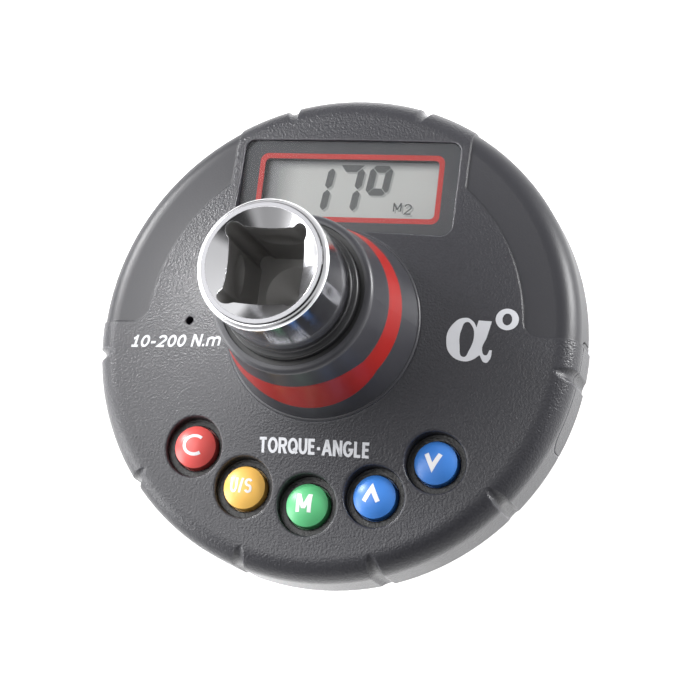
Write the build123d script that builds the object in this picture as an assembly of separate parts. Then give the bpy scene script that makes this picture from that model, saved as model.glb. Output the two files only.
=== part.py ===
from build123d import *
import math
import os

# Torque adapter with angle display: a chrome drive shaft through a round electronics housing.
# Millimetres. The origin is the centre of the male square's end face and +Z runs up the drive
# axis to the square socket. +Y points to the display, +X to its right.

# Drive shaft
drive_size = 12.7
drive_corner_radius = 8.07
drive_chamfer = 0.9
drive_length = 16.0
drive_root_round = 0.8
shoulder_radius = 11.0
flange_radius = 13.6
flange_thickness = 2.0
neck_radius = 7.0
neck_fillet = 2.0
neck_top_z = 58.0
head_radius = 11.08
head_top_z = 86.2
head_edge_round = 0.85
rim_step = 0.4
rim_land_outer_radius = 10.15
rim_land_inner_radius = 9.4
mouth_cone_angle_deg = 36.0
mouth_cone_inner_radius = 5.9
socket_size = 12.8
socket_corner = 1.3
socket_depth = 18.8
relief_radius = 1.45
relief_offset = 5.43
relief_neck_round = 1.0
drill_radius = 5.0
drill_point_deg = 118.0
detent_groove_depth_z = 8.26
detent_groove_reach = 7.3
detent_groove_arc = 4.1

# Detent ball of the male square
ball_radius = 2.0
ball_height = 8.0
ball_proud = 0.75
ball_clearance = 0.06
ball_lip = 0.25
ball_lip_gap = 0.03
ball_travel = 0.7
detent_spring_radius = 1.35
detent_spring_wire = 0.22
detent_spring_length = 3.4
detent_spring_turns = 5
detent_end_room = 0.3

# Housing outline
back_z = 21.0
back_radius = 38.5
back_edge_round = 2.2
rim_radius = 44.16
rim_low_z = 34.9
face_rim_z = 45.95
face_mid_radius = 29.0
face_mid_z = 47.4
rim_fillet = 4.3
boss_root_radius = 17.11
boss_root_z = 50.62
boss_waist_radius = 15.92
boss_waist_z = 56.62
boss_shoulder_radius = 14.69
boss_shoulder_z = 62.51
boss_top_radius = 13.9
boss_top_z = 69.5
boss_top_round = 1.0
wall = 2.2
parting_z = 35.0
cavity_top_z = 58.5
bore_clearance = 0.05

# Boss collar and the red band laid into it
collar_foot_radius = 17.45
collar_seat_z = 50.0
collar_bead_radius = 0.35
collar_spigot_radius = 15.4
collar_spigot_height = 2.0
collar_spigot_gap = 0.05
band_depth = 0.8
band_low_z = 57.2
band_high_z = 61.9
swell_angle_deg = -82.0
swell_mid_z = 59.3
swell_half_length = 13.0
swell_half_height = 4.1

# Rim flutes and smooth crescents
flute_radius = 1.3
flute_offset = 0.5
flute_pitch_deg = 33.0
flute_end_radius = 40.9
flute_end_lift = 1.3
crescent_depth = 0.3
crescent_inner_radius = 34.45
crescent_side_x = 21.7
crescent_low_y = 0.3
crescent_corner = 2.8

# Seals and fixings
seal_radius = 12.6
seal_pocket_depth = 3.0
seal_proud = 1.1
seal_groove_radius = 11.75
seal_groove_depth = 0.4
seal_lip_round = 0.45
lower_seal_radius = 10.3
lower_seal_height = 1.2
ring_thickness = 1.0
ring_inner_radius = 9.8
ring_outer_radius = 13.0
ring_gap_deg = 40.0
ring_ear_hole_radius = 0.75
ring_ear_deg = 9.0
pin_radius = 1.0
pin_place_radius = 12.3
pin_depth = 1.2
pin_clearance = 0.05
spigot_wall = 0.9
spigot_clearance = 0.1
gasket_width = 0.8
gasket_height = 1.2
gasket_lift = 0.6

# Display
recess_half_width = 20.1
recess_low_y = 17.6
display_rim_margin = 3.54
recess_corner = 1.8
recess_taper_deg = 8.0
lens_top_z = 45.8
lens_thickness = 0.5
mask_thickness = 0.2
ledge_thickness = 1.2
lens_clearance = 0.1
border_side = 2.88
border_low = 2.66
border_high = 2.23
line_corner = 1.5
window_corner = 0.9
line_width = 0.95
display_wall = 1.9
lcd_margin = 1.2
lcd_thickness = 1.8
lcd_frame_wall = 1.0
lcd_frame_clearance = 0.1
lcd_frame_seat = 0.5
connector_width = 2.0
connector_length = 30.0

# Buttons
button_names = ["clear", "unit", "memory", "up", "down"]
button_circle_radius = 31.3
button_pitch_deg = 22.13
button_first_deg = -134.85
button_radius = 3.75
button_crown_z = 47.5
button_dome_height = 1.2
button_flange_radius = 4.6
button_flange_thickness = 1.0
button_hole_radius = 4.05
button_rest_gap = 0.1
button_stem_radius = 1.5
button_stem_length = 1.8
well_radius = 5.3
well_floor_z = 45.0
well_floor_thickness = 1.2
well_wall = 1.0
well_round = 0.35

# Circuit board and what it carries
board_z = 37.2
board_thickness = 1.6
board_gap = 0.16
board_inner_radius = 12.8
processor_x = -17.0
processor_y = 20.0
processor_width = 10.0
processor_height = 1.4
amplifier_x = 15.5
amplifier_y = 17.0
amplifier_width = 5.0
amplifier_depth = 6.2
amplifier_height = 1.2
gyroscope_x = 4.0
gyroscope_y = 24.0
gyroscope_width = 5.0
gyroscope_height = 1.1
crystal_x = -7.0
crystal_y = 29.0
crystal_width = 7.0
crystal_depth = 3.0
crystal_height = 1.5
capacitor_x = 24.0
capacitor_first_y = 12.0
capacitor_pitch = 3.2
capacitor_count = 4
capacitor_width = 2.0
capacitor_depth = 1.2
capacitor_height = 1.0
switch_size = 6.0
switch_height = 2.3
switch_bore_clearance = 0.2
switch_floor = 0.4
sounder_x = -25.6
sounder_y = 0.3
sounder_radius = 4.5
sounder_height = 4.5
sounder_port_radius = 0.75
sounder_mouth_radius = 1.15
sounder_mouth_depth = 1.0
gauge_thickness = 0.25
gauge_low_z = 43.0
gauge_height = 6.0
gauge_span_deg = 44.0
gauge_count = 4
wire_radius = 0.4
wire_bend_radius = 1.6
wire_lift = 1.0
wire_board_inset = 1.5

# Battery compartment
door_angle_deg = -11.0
door_half_width = 10.05
door_gap = 0.25
door_top_z = 41.6
door_corner = 3.2
door_inset_s = 1.4
cell_radius = 5.8
cell_length = 10.8
cell_nub_height = 0.4
cell_count = 2
cell_z = 31.2
cell_end_gap = 0.1
contact_room = 0.02
cradle_wall = 1.3
cradle_clearance = 0.15
contact_thickness = 0.4
contact_radius = 3.5
inner_contact_height = 1.2
inner_contact_radius = 1.2

# Shell screws
screw_angles_deg = [20.0, 160.0, 209.0, 329.0]
screw_rim_margin = 9.66
screw_radius = 1.25
screw_hole_clearance = 0.15
screw_thread_gap = 0.03
screw_head_radius = 2.4
screw_head_height = 1.8
screw_head_recess = 1.2
screw_end_z = 43.4
screw_end_gap = 0.2
screw_socket_radius = 1.0
screw_socket_depth = 1.1
post_radius = 2.8

floor_z = back_z + wall
board_top_z = board_z + board_thickness
socket_floor_z = head_top_z - socket_depth
mouth_cone_fall = math.tan(math.radians(mouth_cone_angle_deg))
mouth_cone_depth = (rim_land_inner_radius - mouth_cone_inner_radius) * mouth_cone_fall
mask_z = lens_top_z - lens_thickness - mask_thickness
ledge_z = mask_z - ledge_thickness
lcd_z = ledge_z - lcd_thickness
recess_high_y = math.sqrt((rim_radius - display_rim_margin) ** 2 - recess_half_width**2)
recess_depth_y = recess_high_y - recess_low_y
display_mid_y = (recess_low_y + recess_high_y) / 2
line_half_width = recess_half_width - border_side
line_low_y = recess_low_y + border_low
line_height = recess_high_y - border_high - line_low_y
line_mid_y = line_low_y + line_height / 2
window_half_width = line_half_width - line_width
window_height = line_height - 2 * line_width
taper_per_mm = (rim_radius - back_radius) / (rim_low_z - back_z)
cone_shift = wall * math.sqrt(1 + taper_per_mm**2)
spigot_outer = rim_radius - wall - spigot_clearance
board_outer_radius = spigot_outer - gasket_width - spigot_wall - board_gap
cell_low_z = cell_z - cell_radius
cavity_at_cell = back_radius + taper_per_mm * (cell_low_z - back_z) - cone_shift
contact_s = cavity_at_cell - contact_room - contact_thickness
cell_outer_s = contact_s - cell_end_gap
door_inner_s = cell_outer_s - door_inset_s
overrun = 1.0
sky_z = head_top_z + overrun


def rz(radius, height):
    return Vector(radius, 0, height)


def lathe(points):
    """Turn an outline of (radius, height) points about Z."""
    outline = Polyline([rz(*point) for point in points], close=True)
    return revolve(make_face(outline.edges()), Axis.Z)


def tube(outer, inner, low_z, high_z):
    return lathe([(inner, low_z), (outer, low_z), (outer, high_z), (inner, high_z)])


def disc(radius, low_z, high_z, x=0.0, y=0.0):
    return Pos(x, y, low_z) * extrude(Circle(radius), high_z - low_z)


def plate(width, depth, corner, low_z, high_z, x=0.0, y=0.0, taper=0.0):
    sketch = RectangleRounded(width, depth, corner)
    return Pos(x, y, low_z) * extrude(sketch, high_z - low_z, taper=taper)


def block(x, y, low_z, high_z, width, depth):
    return Pos(x, y, (low_z + high_z) / 2) * Box(width, depth, high_z - low_z)


def polar(radius, angle_deg):
    angle = math.radians(angle_deg)
    return radius * math.cos(angle), radius * math.sin(angle)


def round_corners(face, rounds):
    """Round the face's corners nearest to the given (place, radius) pairs."""
    for place, radius in rounds:
        face = fillet(face.vertices().sort_by_distance(place)[0], radius)
    return face


def housing_outline(inset):
    """The housing's outer form about Z, drawn in by a uniform inset."""
    rim = rim_radius - inset
    root = boss_root_radius - inset
    edges = [
        Line(rz(0, back_z + inset), rz(back_radius - inset, back_z + inset)),
        Line(rz(back_radius - inset, back_z + inset), rz(rim, rim_low_z)),
        Line(rz(rim, rim_low_z), rz(rim, face_rim_z - inset)),
        ThreePointArc(
            rz(rim, face_rim_z - inset),
            rz(face_mid_radius, face_mid_z - inset),
            rz(root, boss_root_z - inset),
        ),
    ]
    sides = [
        rz(root, boss_root_z - inset),
        rz(boss_waist_radius - inset, boss_waist_z),
        rz(boss_shoulder_radius - inset, boss_shoulder_z),
        rz(boss_top_radius - inset, boss_top_z - inset),
        rz(0, boss_top_z - inset),
        rz(0, back_z + inset),
    ]
    for start, end in zip(sides[:-1], sides[1:]):
        edges.append(Line(start, end))
    face = make_face([edge.edge() for edge in edges])
    rounds = [
        (rz(back_radius - inset, back_z + inset), back_edge_round),
        (rz(rim, face_rim_z - inset), rim_fillet - inset),
        (rz(boss_top_radius - inset, boss_top_z - inset), boss_top_round),
    ]
    return revolve(round_corners(face, rounds), Axis.Z)


def flute_tool():
    """A round tool that runs up the rim, out of the back's taper, and fades out over the rim's fillet."""
    track = rim_radius + flute_offset
    bend_z = face_rim_z - rim_fillet
    end = rz(flute_end_radius, face_rim_z + flute_end_lift)
    rise = Line(rz(track, back_z), rz(track, bend_z))
    bend = TangentArc(rz(track, bend_z), end, tangent=(0, 0, 1))
    section = Plane(origin=rz(track, back_z), z_dir=(0, 0, 1)) * Circle(flute_radius)
    return sweep(section, path=Wire([rise.edge(), bend.edge()]))


def crescent_zone(side):
    """The prism of one crescent, on the +X or the -X side."""
    reach = rim_radius + overrun
    region = Circle(reach) - Circle(crescent_inner_radius)
    keep = Pos(side * (crescent_side_x + reach / 2), crescent_low_y + reach / 2) * Rectangle(reach, reach)
    region = region & keep
    inner_low = (side * math.sqrt(crescent_inner_radius**2 - crescent_low_y**2), crescent_low_y)
    low = region.vertices().sort_by_distance((*inner_low, 0))[0]
    region = fillet(low, crescent_corner)
    return extrude(region, sky_z)


def door_prism(inset):
    """The battery door's outline seen along its radius, as a solid from the back to its arched top."""
    half = door_half_width - inset
    top = door_top_z - inset
    low = back_z - overrun
    height = top - low
    sketch = Pos(0, low + height / 2) * Rectangle(2 * half, height)
    arch = sketch.vertices().group_by(Axis.Y)[-1]
    sketch = fillet(arch, door_corner)
    depth = rim_radius + overrun - door_inner_s - inset
    face = Plane(origin=(door_inner_s + inset, 0, 0), x_dir=(0, 1, 0), z_dir=(1, 0, 0)) * sketch
    return Rot(0, 0, door_angle_deg) * extrude(face, depth, dir=(1, 0, 0))


def along_door(s, t, z):
    """A place by its distance out along the door's radius, its distance beside it and its height."""
    x, y = polar(s, door_angle_deg)
    angle = math.radians(door_angle_deg)
    return Pos(x - t * math.sin(angle), y + t * math.cos(angle), z)


def rod_along_door(radius, start_s, end_s, z):
    turn = Rot(0, 0, door_angle_deg) * Rot(0, 90, 0)
    return along_door(start_s, 0, z) * turn * extrude(Circle(radius), end_s - start_s)


def band_swell(angle_deg):
    """The long oval by which the red band widens on one side of the boss."""
    away = Vector(*polar(1, angle_deg), 0)
    along = Vector(*polar(1, angle_deg + 90), 0)
    oval = Ellipse(swell_half_length, swell_half_height)
    face = Plane(origin=(0, 0, swell_mid_z), x_dir=along, z_dir=away) * oval
    return extrude(face, boss_root_radius + overrun, dir=away)


# Housing as one form
outer = housing_outline(0)
flutes = []
tool = flute_tool()
for step in range(6):
    flutes.append(Rot(0, 0, -90 + flute_pitch_deg * (step - 2.5)) * tool)
for side in (-0.5, 0.5):
    flutes.append(Rot(0, 0, 90 + flute_pitch_deg * side) * tool)
skin = outer - housing_outline(crescent_depth)
dressed = outer - flutes
for side in (-1, 1):
    dressed -= skin & crescent_zone(side)

root_inner = boss_root_radius - wall
cavity_edges = [
    Line(rz(0, floor_z), rz(back_radius + taper_per_mm * wall - cone_shift, floor_z)),
    Line(rz(back_radius + taper_per_mm * wall - cone_shift, floor_z), rz(rim_radius - wall, rim_low_z)),
    Line(rz(rim_radius - wall, rim_low_z), rz(rim_radius - wall, face_rim_z - wall)),
    ThreePointArc(
        rz(rim_radius - wall, face_rim_z - wall),
        rz(face_mid_radius, face_mid_z - wall),
        rz(root_inner, boss_root_z - wall),
    ),
    Line(rz(root_inner, boss_root_z - wall), rz(boss_waist_radius - wall, cavity_top_z)),
    Line(rz(boss_waist_radius - wall, cavity_top_z), rz(0, cavity_top_z)),
    Line(rz(0, cavity_top_z), rz(0, floor_z)),
]
cavity_face = make_face([edge.edge() for edge in cavity_edges])
cavity_rounds = [(rz(rim_radius - wall, face_rim_z - wall), rim_fillet - wall)]
cavity = revolve(round_corners(cavity_face, cavity_rounds), Axis.Z)
casing = dressed - cavity
above = Pos(0, 0, parting_z + sky_z / 2) * Box(2 * sky_z, 2 * sky_z, sky_z)
below = Pos(0, 0, parting_z - sky_z / 2) * Box(2 * sky_z, 2 * sky_z, sky_z)
doorway = door_prism(0)
collar_zone = disc(collar_foot_radius, collar_seat_z, sky_z)

# Boss collar and red band
collar_bore_radius = collar_spigot_radius + collar_spigot_gap
collar_bore_top = collar_seat_z + collar_spigot_height + collar_spigot_gap
collar = casing & collar_zone
bead = Plane(origin=rz(collar_foot_radius - collar_bead_radius, boss_root_z), z_dir=(0, -1, 0))
collar += revolve(bead * Circle(collar_bead_radius), Axis.Z)
collar -= disc(collar_bore_radius, collar_seat_z, collar_bore_top)
collar -= disc(head_radius + bore_clearance, cavity_top_z, sky_z)
collar -= disc(seal_radius, boss_top_z - seal_pocket_depth, sky_z)
band_zone = tube(boss_root_radius, head_radius, band_low_z, band_high_z)
for angle in (swell_angle_deg, swell_angle_deg + 180):
    band_zone += band_swell(angle)
red_band = (outer - housing_outline(band_depth)) & band_zone
collar -= red_band

# Front shell
front = casing & above
display_block = plate(
    2 * (recess_half_width + display_wall),
    recess_high_y - recess_low_y + 2 * display_wall,
    recess_corner + display_wall,
    ledge_z,
    sky_z,
    y=display_mid_y,
)
button_places = [polar(button_circle_radius, button_first_deg + button_pitch_deg * i) for i in range(5)]
posts = [polar(rim_radius - screw_rim_margin, angle) for angle in screw_angles_deg]
inner_work = display_block
for x, y in button_places:
    inner_work += disc(well_radius + well_wall, well_floor_z - well_floor_thickness, sky_z, x, y)
for x, y in posts:
    inner_work += disc(post_radius, board_top_z, sky_z, x, y)
front += (inner_work & dressed) - disc(boss_root_radius - wall, back_z, cavity_top_z)
front -= collar_zone - disc(collar_spigot_radius, collar_seat_z, collar_seat_z + collar_spigot_height)
front -= plate(2 * recess_half_width, recess_depth_y, recess_corner, mask_z, lens_top_z, y=display_mid_y)
front -= plate(
    2 * recess_half_width,
    recess_depth_y,
    recess_corner,
    lens_top_z,
    boss_top_z,
    y=display_mid_y,
    taper=-recess_taper_deg,
) - disc(collar_foot_radius, lens_top_z, boss_top_z)
front -= plate(2 * window_half_width, window_height, window_corner, ledge_z, mask_z, y=line_mid_y)
for x, y in button_places:
    front -= disc(well_radius, well_floor_z, sky_z, x, y)
    front -= disc(button_hole_radius, board_z, well_floor_z, x, y)
    mouth = front.edges().sort_by_distance((x, y + well_radius, face_mid_z))[0]
    front = fillet(mouth, well_round)
for x, y in posts:
    front -= disc(screw_radius + screw_thread_gap, board_top_z, screw_end_z + screw_end_gap, x, y)
front -= disc(sounder_port_radius, board_top_z, sky_z, sounder_x, sounder_y)
front -= doorway

# Back shell
back = casing & below
for x, y in posts:
    back += disc(post_radius, back_z + wall / 2, board_z, x, y)
gasket_low = parting_z + gasket_lift
gasket_seat = spigot_outer - gasket_width
back += tube(spigot_outer, gasket_seat - spigot_wall, parting_z - wall, gasket_low)
back += tube(gasket_seat, gasket_seat - spigot_wall, parting_z, board_z)
back -= disc(shoulder_radius + bore_clearance, back_z - overrun, floor_z + overrun)
head_seat_z = back_z + screw_head_recess + screw_head_height
for x, y in posts:
    back -= disc(screw_head_radius + screw_hole_clearance, back_z - overrun, head_seat_z, x, y)
    back -= disc(screw_radius + screw_hole_clearance, head_seat_z, board_z, x, y)
pin_x, pin_y = polar(pin_place_radius, 90)
back -= disc(pin_radius + pin_clearance, floor_z - pin_depth, floor_z, pin_x, pin_y)
back -= doorway

# Battery door
door = (dressed - cavity) & door_prism(door_gap)
door += rod_along_door(contact_radius, contact_s + contact_thickness, rim_radius - wall / 2, cell_z) & dressed
contact_outer = rod_along_door(contact_radius, contact_s, contact_s + contact_thickness, cell_z)

# Seals and gasket
gasket = tube(spigot_outer + spigot_clearance, gasket_seat, gasket_low, gasket_low + gasket_height)
gasket -= doorway
seal_face = make_face(
    Polyline(
        [
            rz(head_radius, boss_top_z - seal_pocket_depth),
            rz(seal_radius, boss_top_z - seal_pocket_depth),
            rz(seal_radius, boss_top_z - seal_groove_depth),
            rz(seal_groove_radius, boss_top_z - seal_groove_depth),
            rz(seal_groove_radius, boss_top_z + seal_proud),
            rz(head_radius, boss_top_z + seal_proud),
        ],
        close=True,
    ).edges()
)
seal_rounds = [(rz(seal_groove_radius, boss_top_z + seal_proud), seal_lip_round)]
upper_seal = revolve(round_corners(seal_face, seal_rounds), Axis.Z)
lower_seal_low = back_z + (wall - lower_seal_height) / 2
lower_seal_high = lower_seal_low + lower_seal_height
lower_seal = tube(shoulder_radius + bore_clearance, lower_seal_radius, lower_seal_low, lower_seal_high)

# Drive shaft
square_bar = Box(drive_size, drive_size, drive_length, align=(Align.CENTER, Align.CENTER, Align.MIN))
end_cone = lathe(
    [
        (0, 0),
        (drive_corner_radius - drive_chamfer, 0),
        (drive_corner_radius, drive_chamfer),
        (drive_corner_radius, drive_length),
        (0, drive_length),
    ]
)
tip_inset = drive_size - 2 * drive_chamfer
tip = loft([Rectangle(tip_inset, tip_inset), Pos(0, 0, drive_chamfer) * Rectangle(drive_size, drive_size)])
tip += block(0, 0, drive_chamfer, drive_length, drive_size, drive_size)
male_square = square_bar & end_cone & tip
body_face = make_face(
    Polyline(
        [
            rz(0, drive_length),
            rz(shoulder_radius, drive_length),
            rz(shoulder_radius, floor_z),
            rz(flange_radius, floor_z),
            rz(flange_radius, floor_z + flange_thickness),
            rz(neck_radius, floor_z + flange_thickness),
            rz(neck_radius, neck_top_z),
            rz(head_radius, neck_top_z),
            rz(head_radius, head_top_z - rim_step),
            rz(rim_land_outer_radius, head_top_z - rim_step),
            rz(rim_land_outer_radius, head_top_z),
            rz(rim_land_inner_radius, head_top_z),
            rz(mouth_cone_inner_radius, head_top_z - mouth_cone_depth),
            rz(0, head_top_z - mouth_cone_depth),
        ],
        close=True,
    ).edges()
)
shaft_rounds = [
    (rz(shoulder_radius, drive_length), drive_root_round),
    (rz(neck_radius, floor_z + flange_thickness), neck_fillet),
    (rz(neck_radius, neck_top_z), neck_fillet),
    (rz(head_radius, head_top_z - rim_step), head_edge_round),
]
shaft = revolve(round_corners(body_face, shaft_rounds), Axis.Z) + male_square

# Socket with corner reliefs, drill point and detent groove
socket_sketch = RectangleRounded(socket_size, socket_size, socket_corner)
for sign_x in (-1, 1):
    for sign_y in (-1, 1):
        socket_sketch += Pos(sign_x * relief_offset, sign_y * relief_offset) * Circle(relief_radius)
socket_sketch = fillet(socket_sketch.vertices(), relief_neck_round)
shaft -= Pos(0, 0, socket_floor_z) * extrude(socket_sketch, socket_depth)
drill_depth = drill_radius / math.tan(math.radians(drill_point_deg / 2))
shaft -= lathe([(0, socket_floor_z - drill_depth), (drill_radius, socket_floor_z), (0, socket_floor_z)])
groove_z = head_top_z - detent_groove_depth_z
groove_center = detent_groove_reach - detent_groove_arc
groove_side = Rectangle(2 * detent_groove_arc, 2 * detent_groove_arc)
groove_section = Circle(detent_groove_arc) & Pos(detent_groove_arc - groove_center, 0) * groove_side
groove_plane = Plane(origin=rz(groove_center, groove_z), x_dir=(1, 0, 0), z_dir=(0, -1, 0))
shaft -= revolve(groove_plane * groove_section, Axis.Z)
shaft -= tube(shoulder_radius + overrun, lower_seal_radius, lower_seal_low, lower_seal_high)
shaft -= tube(shoulder_radius + overrun, ring_inner_radius, back_z - ring_thickness, back_z)
shaft -= disc(pin_radius, floor_z, floor_z + flange_thickness, pin_x, pin_y)

# Detent ball pocket, on the -Y flat
flat = drive_size / 2
ball_distance = flat + ball_proud - ball_radius
ball_room = ball_travel + detent_spring_length + detent_end_room
pocket_end = ball_distance - ball_radius - ball_room
facing = Rot(90, 0, 0)


def rod_in_pocket(radius, near, far):
    """A rod along -Y at the ball's height, from one distance to another."""
    return Pos(0, -near, ball_height) * facing * extrude(Circle(radius), far - near)


lip_start = flat - ball_lip
lip_radius = math.sqrt(ball_radius**2 - (lip_start - ball_distance) ** 2) + ball_lip_gap
shaft -= rod_in_pocket(ball_radius + ball_clearance, pocket_end, lip_start)
shaft -= rod_in_pocket(lip_radius, lip_start, flat + overrun)
detent_ball = Pos(0, -ball_distance, ball_height) * Sphere(ball_radius)
spring_near = ball_distance - ball_radius - detent_spring_length
spring_pitch = (detent_spring_length - 2 * detent_spring_wire) / detent_spring_turns
helix = Helix(spring_pitch, spring_pitch * detent_spring_turns, detent_spring_radius)
helix_start = Plane(origin=helix @ 0, z_dir=helix % 0) * Circle(detent_spring_wire)
coil = sweep(helix_start, path=helix, is_frenet=True)
detent_spring = Pos(0, -spring_near - detent_spring_wire, ball_height) * facing * coil

# Retaining ring and pin
ring = tube(ring_outer_radius, ring_inner_radius, back_z - ring_thickness, back_z)
gap_width = 2 * ring_outer_radius * math.sin(math.radians(ring_gap_deg / 2))
ring_low_z = back_z - ring_thickness
ring -= block(0, -ring_outer_radius, ring_low_z - overrun, back_z + overrun, gap_width, ring_outer_radius)
for side in (-1, 1):
    ear_angle = -90 + side * (ring_gap_deg / 2 + ring_ear_deg)
    ear_x, ear_y = polar((ring_inner_radius + ring_outer_radius) / 2, ear_angle)
    ring -= disc(ring_ear_hole_radius, ring_low_z - overrun, back_z + overrun, ear_x, ear_y)
locating_pin = disc(pin_radius, floor_z - pin_depth, floor_z + flange_thickness, pin_x, pin_y)

# Display
lens_width = 2 * (recess_half_width - lens_clearance)
lens_depth = recess_depth_y - 2 * lens_clearance
mask_top_z = mask_z + mask_thickness
lens = plate(lens_width, lens_depth, recess_corner, mask_top_z, lens_top_z, y=display_mid_y)
line_outer = plate(2 * line_half_width, line_height, line_corner, mask_z, mask_top_z, y=line_mid_y)
mask = plate(lens_width, lens_depth, recess_corner, mask_z, mask_top_z, y=display_mid_y) - line_outer
line_inner = plate(2 * window_half_width, window_height, window_corner, mask_z, mask_top_z, y=line_mid_y)
red_line = line_outer - line_inner
lcd_width = 2 * (window_half_width + lcd_margin)
lcd_depth = window_height + 2 * lcd_margin
lcd = block(0, line_mid_y, lcd_z, ledge_z, lcd_width, lcd_depth)
frame_width = lcd_width + 2 * (lcd_frame_wall + lcd_frame_clearance)
frame_depth = lcd_depth + 2 * (lcd_frame_wall + lcd_frame_clearance)
lcd_frame = block(0, line_mid_y, board_top_z, ledge_z, frame_width, frame_depth)
bay_width = lcd_width + 2 * lcd_frame_clearance
bay_depth = lcd_depth + 2 * lcd_frame_clearance
lcd_frame -= block(0, line_mid_y, lcd_z, ledge_z, bay_width, bay_depth)
under_width = lcd_width - 2 * lcd_frame_seat
under_depth = lcd_depth - 2 * lcd_frame_seat
lcd_frame -= block(0, line_mid_y, board_top_z, lcd_z, under_width, under_depth)
connector_y = line_mid_y - under_depth / 2 + connector_width / 2 + lcd_frame_clearance
connector = block(0, connector_y, board_top_z, lcd_z, connector_length, connector_width)

# Circuit board
board = tube(board_outer_radius, board_inner_radius, board_z, board_top_z)
for x, y in posts:
    board -= disc(screw_radius + screw_hole_clearance, board_z, board_top_z, x, y)


def under_board(x, y, width, depth, height):
    """A chip on the board's lower side."""
    return block(x, y, board_z - height, board_z, width, depth)


processor = under_board(processor_x, processor_y, processor_width, processor_width, processor_height)
amplifier = under_board(amplifier_x, amplifier_y, amplifier_width, amplifier_depth, amplifier_height)
gyroscope = under_board(gyroscope_x, gyroscope_y, gyroscope_width, gyroscope_width, gyroscope_height)
crystal = under_board(crystal_x, crystal_y, crystal_width, crystal_depth, crystal_height)
capacitors = []
for index in range(capacitor_count):
    y = capacitor_first_y + capacitor_pitch * index
    capacitors.append(under_board(capacitor_x, y, capacitor_width, capacitor_depth, capacitor_height))
sounder_top_z = board_top_z + sounder_height
sounder_mouth_z = sounder_top_z - sounder_mouth_depth
sounder = disc(sounder_radius, board_top_z, sounder_top_z, sounder_x, sounder_y)
sounder -= disc(sounder_mouth_radius, sounder_mouth_z, sounder_top_z, sounder_x, sounder_y)

# Strain gauges and their wires
gauge_ring = tube(neck_radius + gauge_thickness, neck_radius, gauge_low_z, gauge_low_z + gauge_height)
gauges = []
wires = []
half_span = gauge_span_deg / 2
reach = 2 * neck_radius
for index in range(gauge_count):
    turn = Rot(0, 0, 45 + 360 / gauge_count * index)
    upper = (reach, reach * math.tan(math.radians(half_span)))
    lower = (reach, -reach * math.tan(math.radians(half_span)))
    wedge = extrude(make_face(Polyline((0, 0), lower, upper, close=True).edges()), sky_z)
    gauges.append(turn * (gauge_ring & wedge))
    start_r = neck_radius + gauge_thickness
    end_r = board_inner_radius + wire_board_inset
    route = FilletPolyline(
        rz(start_r, gauge_low_z + wire_lift),
        rz(end_r, gauge_low_z + wire_lift),
        rz(end_r, board_top_z),
        radius=wire_bend_radius,
    )
    section = Plane(origin=route @ 0, z_dir=route % 0) * Circle(wire_radius)
    wires.append(turn * sweep(section, path=route))

# Battery cells, cradle and inner contact
cell_inner_s = cell_outer_s - cell_count * cell_length
cells = []
for index in range(cell_count):
    start = cell_inner_s + index * cell_length
    nub_start = start + cell_length - cell_nub_height
    cell = rod_along_door(cell_radius, start, nub_start, cell_z)
    cell += rod_along_door(cell_radius / 2, nub_start, start + cell_length, cell_z)
    cells.append(cell)
trough_radius = cell_radius + cradle_clearance
cradle_back_s = cell_inner_s - inner_contact_height - cradle_wall
cradle_length = cell_outer_s - cradle_back_s
cradle_half = trough_radius + cradle_wall
cradle_place = along_door(cradle_back_s + cradle_length / 2, 0, (floor_z + cell_z) / 2)
cradle_turn = Rot(0, 0, door_angle_deg)
cradle = cradle_place * cradle_turn * Box(cradle_length, 2 * cradle_half, cell_z - floor_z)
trough_start_s = cradle_back_s + cradle_wall
cradle -= rod_along_door(trough_radius, trough_start_s, cell_outer_s + overrun, cell_z)
cradle &= cavity
cradle -= doorway
cradle -= disc(flange_radius + cradle_clearance, floor_z, floor_z + flange_thickness + cradle_clearance)
contact_inner = rod_along_door(contact_radius, trough_start_s, trough_start_s + contact_thickness, cell_z)
contact_inner += rod_along_door(inner_contact_radius, trough_start_s, cell_inner_s, cell_z)

# Screws
screws = []
for x, y in posts:
    screw = disc(screw_head_radius, head_seat_z - screw_head_height, head_seat_z, x, y)
    screw += disc(screw_radius, head_seat_z, screw_end_z, x, y)
    recess = extrude(RegularPolygon(screw_socket_radius, 6), screw_socket_depth)
    screw -= Pos(x, y, head_seat_z - screw_head_height) * recess
    screws.append(screw)

nodes = {
    "drive_shaft": shaft,
    "detent_ball": detent_ball,
    "detent_spring": detent_spring,
    "front_shell": front,
    "back_shell": back,
    "battery_door": door,
    "boss_collar": collar,
    "red_band": red_band,
    "upper_seal": upper_seal,
    "lower_seal": lower_seal,
    "shell_gasket": gasket,
    "retaining_ring": ring,
    "locating_pin": locating_pin,
    "display_lens": lens,
    "display_mask": mask,
    "display_line": red_line,
    "lcd_panel": lcd,
    "lcd_frame": lcd_frame,
    "lcd_connector": connector,
    "circuit_board": board,
    "processor_chip": processor,
    "amplifier_chip": amplifier,
    "gyroscope_chip": gyroscope,
    "crystal": crystal,
    "capacitors": Compound(children=capacitors),
    "sounder": sounder,
    "strain_gauges": Compound(children=gauges),
    "gauge_wires": Compound(children=wires),
    "battery_cradle": cradle,
    "battery_contact_inner": contact_inner,
    "battery_contact_outer": contact_outer,
    "shell_screws": Compound(children=screws),
}
for index, cell in enumerate(cells):
    nodes[f"battery_cell_{index + 1}"] = cell

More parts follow.
